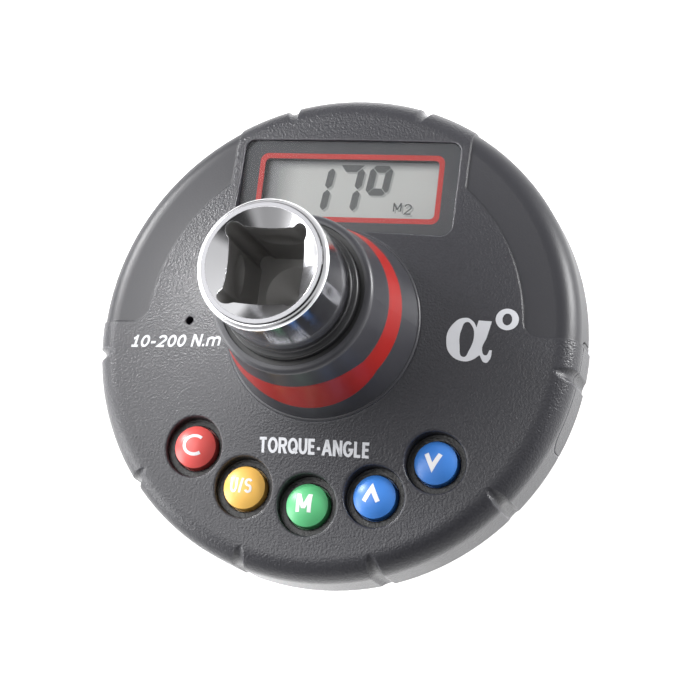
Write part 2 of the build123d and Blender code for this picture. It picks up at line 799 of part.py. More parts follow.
# Buttons and the switches below them
flange_top = well_floor_z - well_floor_thickness - button_rest_gap
flange_low = flange_top - button_flange_thickness
for name, (x, y) in zip(button_names, button_places):
    shoulder_z = button_crown_z - button_dome_height
    cap = lathe([(0, flange_low), (button_radius, flange_low), (button_radius, shoulder_z), (0, shoulder_z)])
    dome_radius = (button_radius**2 + button_dome_height**2) / (2 * button_dome_height)
    dome = Pos(0, 0, button_crown_z - dome_radius) * Sphere(dome_radius)
    cap += dome & disc(button_radius, shoulder_z, button_crown_z)
    cap += disc(button_flange_radius, flange_low, flange_top)
    cap += disc(button_stem_radius, flange_low - button_stem_length, flange_low)
    nodes["button_" + name] = Pos(x, y, 0) * cap
    switch_top = board_top_z + switch_height
    switch = block(x, y, board_top_z, switch_top, switch_size, switch_size)
    switch -= disc(button_stem_radius + switch_bore_clearance, board_top_z + switch_floor, switch_top, x, y)
    nodes["switch_" + name] = switch

os.makedirs("parts", exist_ok=True)
for name, shape in nodes.items():
    export_step(shape, f"parts/{name}.step")
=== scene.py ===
"""Looks of a torque adapter with an angle display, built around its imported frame.

The chrome drive shaft, the moulded housing, the display and the buttons keep the frame's shapes.
This script gives each of them its finish, adds the printed lettering, the display's figures and
the button legends as thin pieces of their own, and sets up a plain studio.
"""

import logging
import math
from dataclasses import dataclass
from enum import Enum

import bmesh
import bpy
from mathutils import Matrix, Vector
from mathutils.bvhtree import BVHTree

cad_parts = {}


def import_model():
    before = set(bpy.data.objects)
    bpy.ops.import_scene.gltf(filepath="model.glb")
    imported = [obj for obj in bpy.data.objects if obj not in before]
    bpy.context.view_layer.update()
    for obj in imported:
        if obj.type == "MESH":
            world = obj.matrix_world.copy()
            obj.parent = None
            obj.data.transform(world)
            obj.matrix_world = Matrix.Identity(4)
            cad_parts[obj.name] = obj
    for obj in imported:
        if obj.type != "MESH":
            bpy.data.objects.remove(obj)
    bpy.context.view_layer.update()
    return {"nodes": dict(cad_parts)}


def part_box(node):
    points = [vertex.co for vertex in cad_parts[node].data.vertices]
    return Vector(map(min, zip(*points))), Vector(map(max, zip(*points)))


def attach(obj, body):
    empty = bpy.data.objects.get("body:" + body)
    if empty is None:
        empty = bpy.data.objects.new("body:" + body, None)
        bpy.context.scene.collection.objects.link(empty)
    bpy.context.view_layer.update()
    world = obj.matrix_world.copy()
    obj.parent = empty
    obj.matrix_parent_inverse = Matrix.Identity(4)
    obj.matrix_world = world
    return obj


LOG = logging.getLogger("torque_adapter")

Tree = bpy.types.NodeTree
Socket = bpy.types.NodeSocket
Node = bpy.types.Node
Material = bpy.types.Material
Shape = bmesh.types.BMesh
Point = tuple[float, float]

MM = 0.001
WHITE = "FFFFFF"
PLASTIC_IOR = 1.5
BEVEL_SAMPLES = 6
# Nearly all values of a noise pattern lie between these two
NOISE_SPAN = (0.3, 0.7)
# How a print's outlines are drawn
ARC_STEP_DEG = 12
CLOSING_SHARE = 0.01
MITRE_LIMIT = 0.45
MERGE_MM = 0.001
DROP_MM = 10.0

# Node settings that recur
SOFT = {"interpolation_type": "SMOOTHSTEP"}
RGBA = {"data_type": "RGBA"}
TIMES = {"operation": "MULTIPLY"}
MINUS = {"operation": "SUBTRACT"}
OVER = {"operation": "GREATER_THAN"}
UNDER = {"operation": "LESS_THAN"}
UNSIGNED = {"operation": "ABSOLUTE"}
LARGER = {"operation": "MAXIMUM"}
LENGTH = {"operation": "LENGTH"}
ALONG = {"operation": "DOT_PRODUCT"}


class Legend(Enum):
    """What is printed on a button."""

    CLEAR = "C"
    UNIT = "U/S"
    MEMORY = "M"
    UP = "up"
    DOWN = "down"


def linear(color: str) -> tuple[float, float, float, float]:
    """Turn an sRGB hex colour into linear values.

    Args:
        color: Six hex digits, such as "4A4B50".

    Returns:
        Red, green, blue and an alpha of 1.
    """
    parts = []
    for start in (0, 2, 4):
        value = int(color[start : start + 2], 16) / 255
        parts.append(value / 12.92 if value <= 0.04045 else ((value + 0.055) / 1.055) ** 2.4)
    return (*parts, 1.0)


def add_node(tree: Tree, kind: str, settings: dict) -> Node:
    """Add one shader node with its settings and links.

    Args:
        tree: The material's or world's node tree.
        kind: The node's type without its common prefix, such as "Math".
        settings: Values by attribute name, input name or the input's number. A socket is linked,
            and a node stands for its first output in use.

    Returns:
        The new node.
    """
    node = tree.nodes.new("ShaderNode" + kind)
    for name, value in settings.items():
        if isinstance(name, str) and name in node.bl_rna.properties:
            setattr(node, name, value)
            continue
        used = [socket for socket in node.inputs if socket.enabled]
        named = {socket.name: socket for socket in reversed(used)}
        target = used[name] if isinstance(name, int) else named[name]
        if isinstance(value, Node):
            value = next(socket for socket in value.outputs if socket.enabled)
        if isinstance(value, Socket):
            tree.links.new(value, target)
        else:
            target.default_value = value
    return node


def empty_tree(owner: bpy.types.ID) -> Tree:
    """Switch on a material's or world's nodes.

    Args:
        owner: The material or world.

    Returns:
        Its tree, emptied.
    """
    owner.use_nodes = True
    owner.node_tree.nodes.clear()
    return owner.node_tree


def noise(size_mm: float, detail: float, place: Socket) -> dict:
    """Return the settings of a noise pattern whose cells measure size_mm."""
    return {"Scale": 1 / (size_mm * MM), "Detail": detail, "Vector": place}


def step(low: float, high: float, to_low: float = 0.0, to_high: float = 1.0) -> dict[str, float]:
    """Return the settings that map values from low to high onto other values."""
    return {"From Min": low, "From Max": high, "To Min": to_low, "To Max": to_high}


def from_axis(tree: Tree, place: Socket) -> tuple[Socket, Socket, Socket, Node]:
    """Split a place into its coordinates and its distance from the drive axis.

    Args:
        tree: The material's tree.
        place: Object coordinates.

    Returns:
        X, Y, Z and the distance.
    """
    x, y, z = add_node(tree, "SeparateXYZ", {0: place}).outputs
    level = add_node(tree, "CombineXYZ", {"X": x, "Y": y})
    return x, y, z, add_node(tree, "VectorMath", {**LENGTH, 0: level})


@dataclass(frozen=True)
class Finish:
    """A named surface. Each kind of surface fills in its own shader."""

    name: str

    def shader(self, tree: Tree, place: Socket) -> Node:
        """Build the surface's nodes.

        Args:
            tree: The material's tree.
            place: Object coordinates.

        Returns:
            The shader's node.
        """
        raise NotImplementedError

    def material(self) -> Material:
        """Make the finish's material.

        Returns:
            The new material.
        """
        material = bpy.data.materials.new(self.name)
        tree = empty_tree(material)
        place = add_node(tree, "TexCoord", {}).outputs["Object"]
        add_node(tree, "OutputMaterial", {"Surface": self.shader(tree, place)})
        return material


@dataclass(frozen=True)
class MouldedPlastic(Finish):
    """Injection-moulded plastic, rubber or ink: one even colour under a soft sheen.

    The eye gets a gloss that drifts over patches a few millimetres wide and a fine grain. With a
    shade colour the patches drift in tone too.
    """

    color: str
    roughness: float = 0.42
    grain_mm: float = 0.25
    grain_height_mm: float = 0.004
    shade_color: str = ""
    edge_round_mm: float = 0.0
    patch_mm: float = 7.0
    gloss_drift: float = 0.04
    grain_strength: float = 0.6

    def shader(self, tree: Tree, place: Socket) -> Node:
        """Build the plastic.

        Args:
            tree: The material's tree.
            place: Object coordinates.

        Returns:
            The shader's node.
        """
        cloud = add_node(tree, "TexNoise", noise(self.patch_mm, 3.0, place))
        grain = add_node(tree, "TexNoise", noise(self.grain_mm, 2.0, place))
        raised = {"Strength": self.grain_strength, "Distance": self.grain_height_mm * MM, "Height": grain}
        if self.edge_round_mm:
            bevel = {"samples": BEVEL_SAMPLES, "Radius": self.edge_round_mm * MM}
            raised["Normal"] = add_node(tree, "Bevel", bevel)
        gloss = step(*NOISE_SPAN, self.roughness - self.gloss_drift, self.roughness + self.gloss_drift)
        settings = {
            "IOR": PLASTIC_IOR,
            "Roughness": add_node(tree, "MapRange", {**gloss, "Value": cloud}),
            "Normal": add_node(tree, "Bump", raised),
            "Base Color": linear(self.color),
        }
        if self.shade_color:
            patches = add_node(tree, "MapRange", {**step(*NOISE_SPAN), "Value": cloud})
            colors = {"A": linear(self.shade_color), "B": linear(self.color)}
            settings["Base Color"] = add_node(tree, "Mix", {**RGBA, "Factor": patches, **colors})
        return add_node(tree, "BsdfPrincipled", settings)


@dataclass(frozen=True)
class SparkErodedShell(Finish):
    """Dark grey ABS from a spark-eroded mould.

    The eye gets a dull pitted face, glossier along its sharp edges, where a paler colour paints a
    highlight on them, smooth crescents beside the display, and painted shade that darkens each
    button's well towards its floor. A real grain of this kind is finer than the render can show, so
    it is drawn as coarse as it needs to show.
    """

    name: str = "spark_eroded_abs"
    color: str = "35353A"
    pit_color: str = "303035"
    pit_span: Point = (0.35, 0.6)
    smooth_color: str = "2C2C31"
    # Painted shade: the colour that each button's well darkens to at its floor
    well_shade_color: str = "141416"
    roughness: float = 0.31
    smooth_roughness: float = 0.4
    gloss_drift: float = 0.03
    patch_mm: float = 14.0
    grain_mm: float = 0.38
    grain_height_mm: float = 0.115
    smooth_grain: float = 0.15
    edge_round_mm: float = 0.5
    # Sharp edges: the paler colour is a painted highlight; the lower roughness is a real polish
    edge_highlight_color: str = "64646A"
    edge_polish_roughness: float = 0.2
    edge_bend: Point = (0.985, 0.85)
    spared_side_mm: float = 21.0
    spared_low_mm: float = -1.0
    well_mouth_z_mm: float = 46.4
    well_floor_z_mm: float = 45.2
    well_ring_mm: Point = (25.0, 37.4)
    crescent_radius_mm: float = 34.45
    crescent_side_mm: float = 21.7
    crescent_low_mm: float = 0.3
    crescent_corner_mm: float = 2.8
    crescent_floor_z_mm: float = 35.0
    crescent_edge_mm: float = 0.1

    def crescents(self, tree: Tree, place: Socket) -> Node:
        """Work out where the smooth crescents lie.

        Args:
            tree: The material's tree.
            place: Object coordinates.

        Returns:
            A node that gives 1 inside a crescent and 0 outside.
        """
        corner = self.crescent_corner_mm * MM
        edge = self.crescent_edge_mm * MM
        x, y, z, radius = from_axis(tree, place)
        # How far a place falls short of the outer radius and of the lower end, as minus a length
        short = []
        for limit_mm, value in ((self.crescent_radius_mm, radius), (self.crescent_low_mm, y)):
            limit = limit_mm * MM + corner
            short.append(add_node(tree, "MapRange", {**step(limit - 1, limit, -1, 0), "Value": value}))
        both = add_node(tree, "CombineXYZ", {"X": short[0], "Y": short[1]})
        from_corner = add_node(tree, "VectorMath", {**LENGTH, 0: both})
        inside = add_node(tree, "MapRange", {**step(corner - edge, corner, 1, 0), "Value": from_corner})
        side = add_node(tree, "Math", {**UNSIGNED, 0: x})
        side_start = self.crescent_side_mm * MM
        beside = add_node(tree, "MapRange", {**step(side_start, side_start + edge), "Value": side})
        above = add_node(tree, "Math", {**OVER, 0: z, 1: self.crescent_floor_z_mm * MM})
        shape = add_node(tree, "Math", {**TIMES, 0: inside, 1: beside})
        return add_node(tree, "Math", {**TIMES, 0: shape, 1: above})

    def well_shade(self, tree: Tree, place: Socket) -> Node:
        """Work out the painted shade in a button's well, which deepens towards its floor.

        Args:
            tree: The material's tree.
            place: Object coordinates.

        Returns:
            A node that gives 1 at a well's floor, where the painted shade is full, and 0 outside every
            well.
        """
        _, y, z, radius = from_axis(tree, place)
        inner, outer = self.well_ring_mm
        past_inner = add_node(tree, "Math", {**OVER, 0: radius, 1: inner * MM})
        short_outer = add_node(tree, "Math", {**UNDER, 0: radius, 1: outer * MM})
        in_front = add_node(tree, "Math", {**UNDER, 0: y, 1: 0.0})
        fall = step(self.well_floor_z_mm * MM, self.well_mouth_z_mm * MM, 1, 0)
        depth = add_node(tree, "MapRange", {**SOFT, **fall, "Value": z})
        for limit in (past_inner, short_outer, in_front):
            depth = add_node(tree, "Math", {**TIMES, 0: depth, 1: limit})
        return depth

    def polished_highlight_edges(self, tree: Tree, place: Socket, rounded: Node) -> Node:
        """Work out where the surface turns sharply, for a real polish and a painted highlight.

        The crescents' own edges, let in below the face, are spared.

        Args:
            tree: The material's tree.
            place: Object coordinates.
            rounded: The normal with its edges rounded off.

        Returns:
            A node that gives 1 on a polished edge with a painted highlight and 0 on a flat place.
        """
        plain = add_node(tree, "NewGeometry", {}).outputs["Normal"]
        bend = add_node(tree, "VectorMath", {**ALONG, 0: rounded, 1: plain})
        bent = add_node(tree, "MapRange", {**step(*self.edge_bend), "Value": bend})
        x, y, _ = add_node(tree, "SeparateXYZ", {0: place}).outputs
        aside = add_node(tree, "Math", {**UNSIGNED, 0: x})
        beside = add_node(tree, "Math", {**OVER, 0: aside, 1: self.spared_side_mm * MM})
        behind = add_node(tree, "Math", {**OVER, 0: y, 1: self.spared_low_mm * MM})
        spared = add_node(tree, "Math", {**TIMES, 0: beside, 1: behind})
        return add_node(tree, "Math", {**MINUS, "use_clamp": True, 0: bent, 1: spared})

    def shader(self, tree: Tree, place: Socket) -> Node:
        """Build the shell's plastic.

        Args:
            tree: The material's tree.
            place: Object coordinates.

        Returns:
            The shader's node.
        """
        grain = add_node(tree, "TexNoise", noise(self.grain_mm, 3.0, place))
        cloud = add_node(tree, "TexNoise", noise(self.patch_mm, 2.0, place))
        rounded = add_node(tree, "Bevel", {"samples": BEVEL_SAMPLES, "Radius": self.edge_round_mm * MM})
        smooth = self.crescents(tree, place)
        polished_highlight = self.polished_highlight_edges(tree, place, rounded)
        color = linear(self.pit_color)
        for share, above in (
            (add_node(tree, "MapRange", {**step(*self.pit_span), "Value": grain}), self.color),
            (smooth, self.smooth_color),
            # Painted highlight on the sharp edges
            (polished_highlight, self.edge_highlight_color),
            # Painted shade in the button's well
            (self.well_shade(tree, place), self.well_shade_color),
        ):
            color = add_node(tree, "Mix", {**RGBA, "Factor": share, "A": color, "B": linear(above)})
        dull = step(*NOISE_SPAN, self.roughness - self.gloss_drift, self.roughness + self.gloss_drift)
        roughness = add_node(tree, "MapRange", {**dull, "Value": cloud})
        for share, above in ((smooth, self.smooth_roughness), (polished_highlight, self.edge_polish_roughness)):
            roughness = add_node(tree, "Mix", {"Factor": share, "A": roughness, "B": above})
        raised = {
            "Strength": add_node(tree, "MapRange", {**step(0, 1, 1, self.smooth_grain), "Value": smooth}),
            "Distance": self.grain_height_mm * MM,
            "Height": grain,
            "Normal": rounded,
        }
        settings = {
            "IOR": PLASTIC_IOR,
            "Base Color": color,
            "Roughness": roughness,
            "Normal": add_node(tree, "Bump", raised),
        }
        return add_node(tree, "BsdfPrincipled", settings)


@dataclass(frozen=True)
class PlatedSteel(Finish):
    """Chrome plate over forged and turned steel.

    The eye gets a mirror outside and in the mouth's cone, a satin ring on the flat end, dull grey
    plating down the socket, where the bath hardly reaches, and painted shade in the corner of the
    end's step.
    """

    name: str = "chrome_plate"
    color: str = "E6E6E9"
    inner_color: str = "AAA9A8"
    land_color: str = "868689"
    # Painted shade: the dark line in the corner of the end's step
    corner_shade_color: str = "4A4A4C"
    roughness: float = 0.1
    land_roughness: float = 0.3
    inner_roughness: float = 0.58
    edge_round_mm: float = 0.12
    end_z_mm: float = 86.2
    skin_mm: float = 0.05
    cone_radius_mm: float = 9.4
    cone_fall: float = 0.7265
    inner_fade_mm: Point = (0.05, 0.5)
    step_radius_mm: float = 10.15
    step_mm: float = 0.4
    corner_shade_offset_mm: float = 0.06
    corner_shade_fade_mm: Point = (0.05, 0.16)
    corner_shade_rise_mm: float = 0.01
    wear_mm: float = 1.6
    wear_span: Point = (0.35, 0.75)
    wear_dulling: float = 0.06
    wear_strength: float = 0.25
    wear_height_mm: float = 0.006

    def corner_shade(self, tree: Tree, z: Socket, radius: Node, on_end: Node) -> Node:
        """Work out where painted shade darkens the corner of the end's step.

        Args:
            tree: The material's tree.
            z: Height.
            radius: Distance from the drive axis.
            on_end: A node that gives 1 on the flat end.

        Returns:
            A node that gives 1 in the corner and 0 away from it.
        """
        middle = (self.step_radius_mm + self.corner_shade_offset_mm) * MM
        from_step = add_node(tree, "Math", {**MINUS, 0: radius, 1: middle})
        off_step = add_node(tree, "Math", {**UNSIGNED, 0: from_step})
        full, gone = self.corner_shade_fade_mm
        near_step = add_node(tree, "MapRange", {**step(full * MM, gone * MM, 1, 0), "Value": off_step})
        step_z = (self.end_z_mm - self.step_mm - self.skin_mm) * MM
        rise = step(step_z, step_z + self.corner_shade_rise_mm * MM)
        over_step = add_node(tree, "MapRange", {**rise, "Value": z})
        under_end = add_node(tree, "Math", {**MINUS, 0: over_step, 1: on_end})
        return add_node(tree, "Math", {**TIMES, 0: near_step, 1: under_end})

    def shader(self, tree: Tree, place: Socket) -> Node:
        """Build the plated steel.

        Args:
            tree: The material's tree.
            place: Object coordinates.

        Returns:
            The shader's node.
        """
        _, _, z, radius = from_axis(tree, place)
        cone_base = (self.end_z_mm - self.cone_fall * self.cone_radius_mm) * MM
        cone_line = {"operation": "MULTIPLY_ADD", 0: radius, 1: self.cone_fall, 2: cone_base}
        depth = add_node(tree, "Math", {**MINUS, 0: add_node(tree, "Math", cone_line), 1: z})
        start, full = self.inner_fade_mm
        below = add_node(tree, "MapRange", {**step(start * MM, full * MM), "Value": depth})
        within = add_node(tree, "Math", {**UNDER, 0: radius, 1: (self.cone_radius_mm - self.skin_mm) * MM})
        inner = add_node(tree, "Math", {**TIMES, 0: below, 1: within})
        on_end = add_node(tree, "Math", {**OVER, 0: z, 1: (self.end_z_mm - self.skin_mm) * MM})
        past_cone = add_node(tree, "Math", {**OVER, 0: radius, 1: self.cone_radius_mm * MM})
        land = add_node(tree, "Math", {**TIMES, 0: on_end, 1: past_cone})
        corner_shade = self.corner_shade(tree, z, radius, on_end)
        color = linear(self.color)
        for share, above in ((inner, self.inner_color), (land, self.land_color), (corner_shade, self.corner_shade_color)):
            color = add_node(tree, "Mix", {**RGBA, "Factor": share, "A": color, "B": linear(above)})
        wear = add_node(tree, "TexNoise", noise(self.wear_mm, 4.0, place))
        smear = step(*self.wear_span, self.roughness, self.roughness + self.wear_dulling)
        roughness = add_node(tree, "MapRange", {**smear, "Value": wear})
        for share, above in ((inner, self.inner_roughness), (land, self.land_roughness)):
            roughness = add_node(tree, "Mix", {"Factor": share, "A": roughness, "B": above})
        rounded = add_node(tree, "Bevel", {"samples": BEVEL_SAMPLES, "Radius": self.edge_round_mm * MM})
        raised = {
            "Strength": self.wear_strength,
            "Distance": self.wear_height_mm * MM,
            "Height": wear,
            "Normal": rounded,
        }
        settings = {
            "Metallic": 1.0,
            "Base Color": color,
            "Roughness": roughness,
            "Normal": add_node(tree, "Bump", raised),
        }
        return add_node(tree, "BsdfPrincipled", settings)


@dataclass(frozen=True)
class BareMetal(Finish):
    """Small metal parts, ground or nickel plated: a blurred reflection broken by fine marks."""

    color: str
    roughness: float = 0.3
    mark_mm: float = 0.4
    mark_dulling: float = 0.08
    mark_strength: float = 0.3
    mark_height_mm: float = 0.01

    def shader(self, tree: Tree, place: Socket) -> Node:
        """Build the metal.

        Args:
            tree: The material's tree.
            place: Object coordinates.

        Returns:
            The shader's node.
        """
        marks = add_node(tree, "TexNoise", noise(self.mark_mm, 3.0, place))
        gloss = step(*NOISE_SPAN, self.roughness - self.mark_dulling, self.roughness + self.mark_dulling)
        raised = {"Strength": self.mark_strength, "Distance": self.mark_height_mm * MM, "Height": marks}
        settings = {
            "Metallic": 1.0,
            "Base Color": linear(self.color),
            "Roughness": add_node(tree, "MapRange", {**gloss, "Value": marks}),
            "Normal": add_node(tree, "Bump", raised),
        }
        return add_node(tree, "BsdfPrincipled", settings)


@dataclass(frozen=True)
class ClearWindow(Finish):
    """Clear cast acrylic sheet.

    The eye sees through it to the figures, with a faint gloss that grows at a slant. Its index is
    below acrylic's 1.49, to match a window that hardly mirrors the room.
    """

    name: str = "clear_acrylic"
    tint: str = "FCFDFD"
    roughness: float = 0.2
    ior: float = 1.2
    smudge_mm: float = 5.0
    smudge_dulling: float = 0.05

    def shader(self, tree: Tree, place: Socket) -> Node:
        """Build the clear sheet.

        Args:
            tree: The material's tree.
            place: Object coordinates.

        Returns:
            The shader's node.
        """
        smudge = add_node(tree, "TexNoise", noise(self.smudge_mm, 2.0, place))
        dull = step(*NOISE_SPAN, self.roughness, self.roughness + self.smudge_dulling)
        gloss = add_node(tree, "MapRange", {**dull, "Value": smudge})
        clear = add_node(tree, "BsdfTransparent", {"Color": linear(self.tint)})
        shine = add_node(tree, "BsdfGlossy", {"Color": linear(WHITE), "Roughness": gloss})
        slant = add_node(tree, "Fresnel", {"IOR": self.ior})
        return add_node(tree, "MixShader", {0: slant, 1: clear, 2: shine})


@dataclass(frozen=True)
class CrystalPanel(Finish):
    """Reflective liquid crystal panel under its polarising film.

    The eye gets a pale neutral sheet that goes dusky along its upper and left edges, where the
    window's border keeps the light off it.
    """

    name: str = "crystal_panel"
    color: str = "CDCECC"
    shade: str = "7E7F82"
    roughness: float = 0.5
    left_mm: float = -16.4
    top_mm: float = 32.3
    left_fade_mm: float = 7.0
    top_fade_mm: float = 2.2
    speck_mm: float = 0.15
    speck_strength: float = 0.2
    speck_height_mm: float = 0.004

    def shader(self, tree: Tree, place: Socket) -> Node:
        """Build the panel.

        Args:
            tree: The material's tree.
            place: Object coordinates.

        Returns:
            The shader's node.
        """
        x, y, _ = add_node(tree, "SeparateXYZ", {0: place}).outputs
        left = self.left_mm * MM
        top = self.top_mm * MM
        from_left = {**SOFT, **step(left, left + self.left_fade_mm * MM), "Value": x}
        from_top = {**SOFT, **step(top - self.top_fade_mm * MM, top, 1, 0), "Value": y}
        sides = {0: add_node(tree, "MapRange", from_left), 1: add_node(tree, "MapRange", from_top)}
        lit = add_node(tree, "Math", {**TIMES, **sides})
        colors = {"A": linear(self.shade), "B": linear(self.color)}
        speck = add_node(tree, "TexNoise", noise(self.speck_mm, 1.0, place))
        raised = {"Strength": self.speck_strength, "Distance": self.speck_height_mm * MM, "Height": speck}
        settings = {
            "IOR": PLASTIC_IOR,
            "Roughness": self.roughness,
            "Base Color": add_node(tree, "Mix", {**RGBA, "Factor": lit, **colors}),
            "Normal": add_node(tree, "Bump", raised),
        }
        return add_node(tree, "BsdfPrincipled", settings)


def paint(node: bpy.types.Object, material: Material) -> None:
    """Put one material in all of an object's slots.

    Args:
        node: The object.
        material: Its material.
    """
    if not node.material_slots:
        node.data.materials.append(material)
    for slot in node.material_slots:
        slot.material = material
    LOG.info("dressed %s in %s", node.name, material.name)


def link_mesh(name: str, shape: Shape, material: Material) -> bpy.types.Object:
    """Put a shape in the scene as a mesh object, and free the shape.

    Args:
        name: The object's name.
        shape: Its faces, in metres.
        material: Its material.

    Returns:
        The new object.
    """
    mesh = bpy.data.meshes.new(name)
    shape.to_mesh(mesh)
    shape.free()
    mesh.materials.append(material)
    piece = bpy.data.objects.new(name, mesh)
    bpy.context.scene.collection.objects.link(piece)
    return piece


def arc(centre: Point, radii: Point, start_deg: float, end_deg: float) -> list[Point]:
    """Divide an ellipse's arc into steps of about ARC_STEP_DEG.

    Args:
        centre: The ellipse's centre.
        radii: Its half width and half height.
        start_deg: Where the arc starts, counted anticlockwise from the right.
        end_deg: Where it ends.

    Returns:
        The points, with both ends.
    """
    count = max(2, round(abs(end_deg - start_deg) / ARC_STEP_DEG))
    points = []
    for index in range(count + 1):
        turn = math.radians(start_deg + (end_deg - start_deg) * index / count)
        points.append((centre[0] + radii[0] * math.cos(turn), centre[1] + radii[1] * math.sin(turn)))
    return points


def add_ribbon(flat: Shape, points: list[Point], width: float) -> None:
    """Draw a stroke of even width along a path, mitred at its corners.

    Args:
        flat: The flat shape that the stroke is added to.
        points: The path. Where its end meets its start, the stroke closes.
        width: The stroke's width.
    """
    path = [Vector((x, y, 0)) for x, y in points]
    closed = (path[0] - path[-1]).length < width * CLOSING_SHARE
    if closed:
        path.pop()
    count = len(path)
    pairs = []
    for index, point in enumerate(path):
        before = path[index - 1] if index > 0 or closed else None
        after = path[(index + 1) % count] if index < count - 1 or closed else None
        out = (after - point).normalized() if after is not None else (point - before).normalized()
        into = (point - before).normalized() if before is not None else out
        along = (into + out).normalized()
        across = Vector((-along.y, along.x, 0))
        reach = width / 2 / max(across.dot(Vector((-into.y, into.x, 0))), MITRE_LIMIT)
        pairs.append((flat.verts.new(point + across * reach), flat.verts.new(point - across * reach)))
    for index in range(count if closed else count - 1):
        left, right = pairs[index], pairs[(index + 1) % count]
        flat.faces.new((left[1], right[1], right[0], left[0]))


def add_slash(flat: Shape, start: Point, end: Point, width: float) -> None:
    """Draw a slanting stroke whose ends are cut level.

    Args:
        flat: The flat shape that the stroke is added to.
        start: The middle of one end.
        end: The middle of the other end.
        width: The stroke's width across its run.
    """
    run = Vector((end[0] - start[0], end[1] - start[1]))
    half = width / 2 * run.length / abs(run.y)
    corners = [(start[0] - half, start[1]), (start[0] + half, start[1])]
    corners += [(end[0] + half, end[1]), (end[0] - half, end[1])]
    flat.faces.new([flat.verts.new((x, y, 0)) for x, y in corners])


@dataclass(frozen=True)
class Letter:
    """A letter's width as a share of the capital height, and its strokes in a box of 1 by 1.

    A path is drawn as a ribbon, and a slash has ends that are cut level.
    """

    width: float
    paths: tuple[list[Point], ...] = ()
    slashes: tuple[tuple[Point, Point], ...] = ()


@dataclass(frozen=True)
class StrokeHand:
    """Plain block letters drawn with strokes of one width.

    A letter's box of 1 by 1 is stretched to the letter's width and height less one stroke, so that
    the outer edges of its strokes touch the letter's own box.
    """

    height_mm: float
    stroke_mm: float
    lean: float = 0.0
    small_height: float = 0.7
    narrow: float = 1.0
    space: float = 0.3

    def letter(self, sign: str) -> Letter:
        """Look up a letter, figure or mark.

        Args:
            sign: One character.

        Returns:
            Its width and strokes.
        """
        over = self.stroke_mm / 2 / (self.height_mm - self.stroke_mm)
        low, high, small = -over, 1 + over, self.small_height
        ring = arc((0.5, 0.5), (0.5, 0.5), 90, 450)
        stems = ([(0, low), (0, high)], [(1, low), (1, high)])
        bowl = [(0, 1), (0.6, 1), *arc((0.6, 0.74), (0.4, 0.26), 75, -75), (0.6, 0.48), (0, 0.48)]
        swan = [*arc((0.5, 0.72), (0.5, 0.28), 165, -28), (0.04, 0), (1, 0)]
        snake = [*arc((0.5, 0.76), (0.5, 0.24), 25, 262), *arc((0.5, 0.26), (0.5, 0.26), 82, -155)]
        cup = [(0, high), *arc((0.5, 0.4), (0.5, 0.4), 180, 360), (1, high)]
        arches = [[*arc((x, small - 0.25), (0.25, 0.25), 150, 0), (x + 0.25, low)] for x in (0.25, 0.75)]
        hook = [*arc((0.5, 0.5), (0.5, 0.5), 48, 350), (1, 0.44), (0.55, 0.44)]
        one = ([(0.55, 0), (0.55, high)], [(0, 0.72), (0.55, 0.94)], [(low, 0), (high, 0)])
        legs = (((0, low), (0.5, high)), ((1, low), (0.5, high)))
        table = {
            "0": Letter(0.72, (ring,)),
            "1": Letter(0.62, one),
            "2": Letter(0.74, (swan,)),
            "-": Letter(0.45, ([(-0.2, 0.38), (1.2, 0.38)],)),
            ".": Letter(0.24, ([(0.5, low), (0.5, -low)],)),
            "/": Letter(0.5, (), (((0, low), (1, high)),)),
            "A": Letter(0.95, ([(0.2, 0.28), (0.8, 0.28)],), legs),
            "C": Letter(0.85, (arc((0.5, 0.5), (0.5, 0.5), 50, 310),)),
            "E": Letter(0.68, ([(high, 1), (0, 1), (0, 0), (high, 0)], [(0, 0.52), (1, 0.52)])),
            "G": Letter(0.92, (hook,)),
            "L": Letter(0.66, ([(0, high), (0, 0), (high, 0)],)),
            "M": Letter(0.98, stems, (((0, high), (0.5, 0.12)), ((1, high), (0.5, 0.12)))),
            "N": Letter(0.84, stems, (((0, high), (1, low)),)),
            "O": Letter(0.95, (ring,)),
            "Q": Letter(0.95, (ring, [(0.6, 0.3), (1.04, -0.08)])),
            "R": Letter(0.82, (stems[0], bowl), (((0.55, 0.48), (1, low)),)),
            "S": Letter(0.78, (snake,)),
            "T": Letter(0.8, ([(0.5, low), (0.5, 1)], [(low, 1), (high, 1)])),
            "U": Letter(0.82, (cup,)),
            "m": Letter(1.2, ([(0, low), (0, small)], *arches)),
        }
        return table[sign]

    def write(self, words: str, width_mm: float = 0.0) -> Shape:
        """Write words as a flat shape centred on the origin, in millimetres.

        Args:
            words: The words. A space is as wide as a thin letter.
            width_mm: The whole width, from which the gaps follow. Without it a gap is half a stroke.

        Returns:
            The strokes' faces in the XY plane.
        """
        letters = [Letter(self.space) if sign == " " else self.letter(sign) for sign in words]
        widths = [self.height_mm * self.narrow * letter.width for letter in letters]
        half = self.stroke_mm / 2
        gap = half
        if width_mm:
            gap = (width_mm - self.lean * self.height_mm - sum(widths)) / max(len(words) - 1, 1)
        inner_height = self.height_mm - self.stroke_mm
        flat = bmesh.new()
        at = 0.0
        for letter, width in zip(letters, widths):
            inner_width = width - self.stroke_mm
            for path in letter.paths:
                points = [(at + half + x * inner_width, half + y * inner_height) for x, y in path]
                add_ribbon(flat, points, self.stroke_mm)
            for slash in letter.slashes:
                ends = [(at + half + x * inner_width, half + y * inner_height) for x, y in slash]
                add_slash(flat, *ends, self.stroke_mm)
            at += width + gap
        for vertex in flat.verts:
            vertex.co.x += self.lean * vertex.co.y
        left = min(vertex.co.x for vertex in flat.verts)
        right = max(vertex.co.x for vertex in flat.verts)
        bmesh.ops.translate(flat, vec=(-(left + right) / 2, -self.height_mm / 2, 0), verts=flat.verts)
        return flat


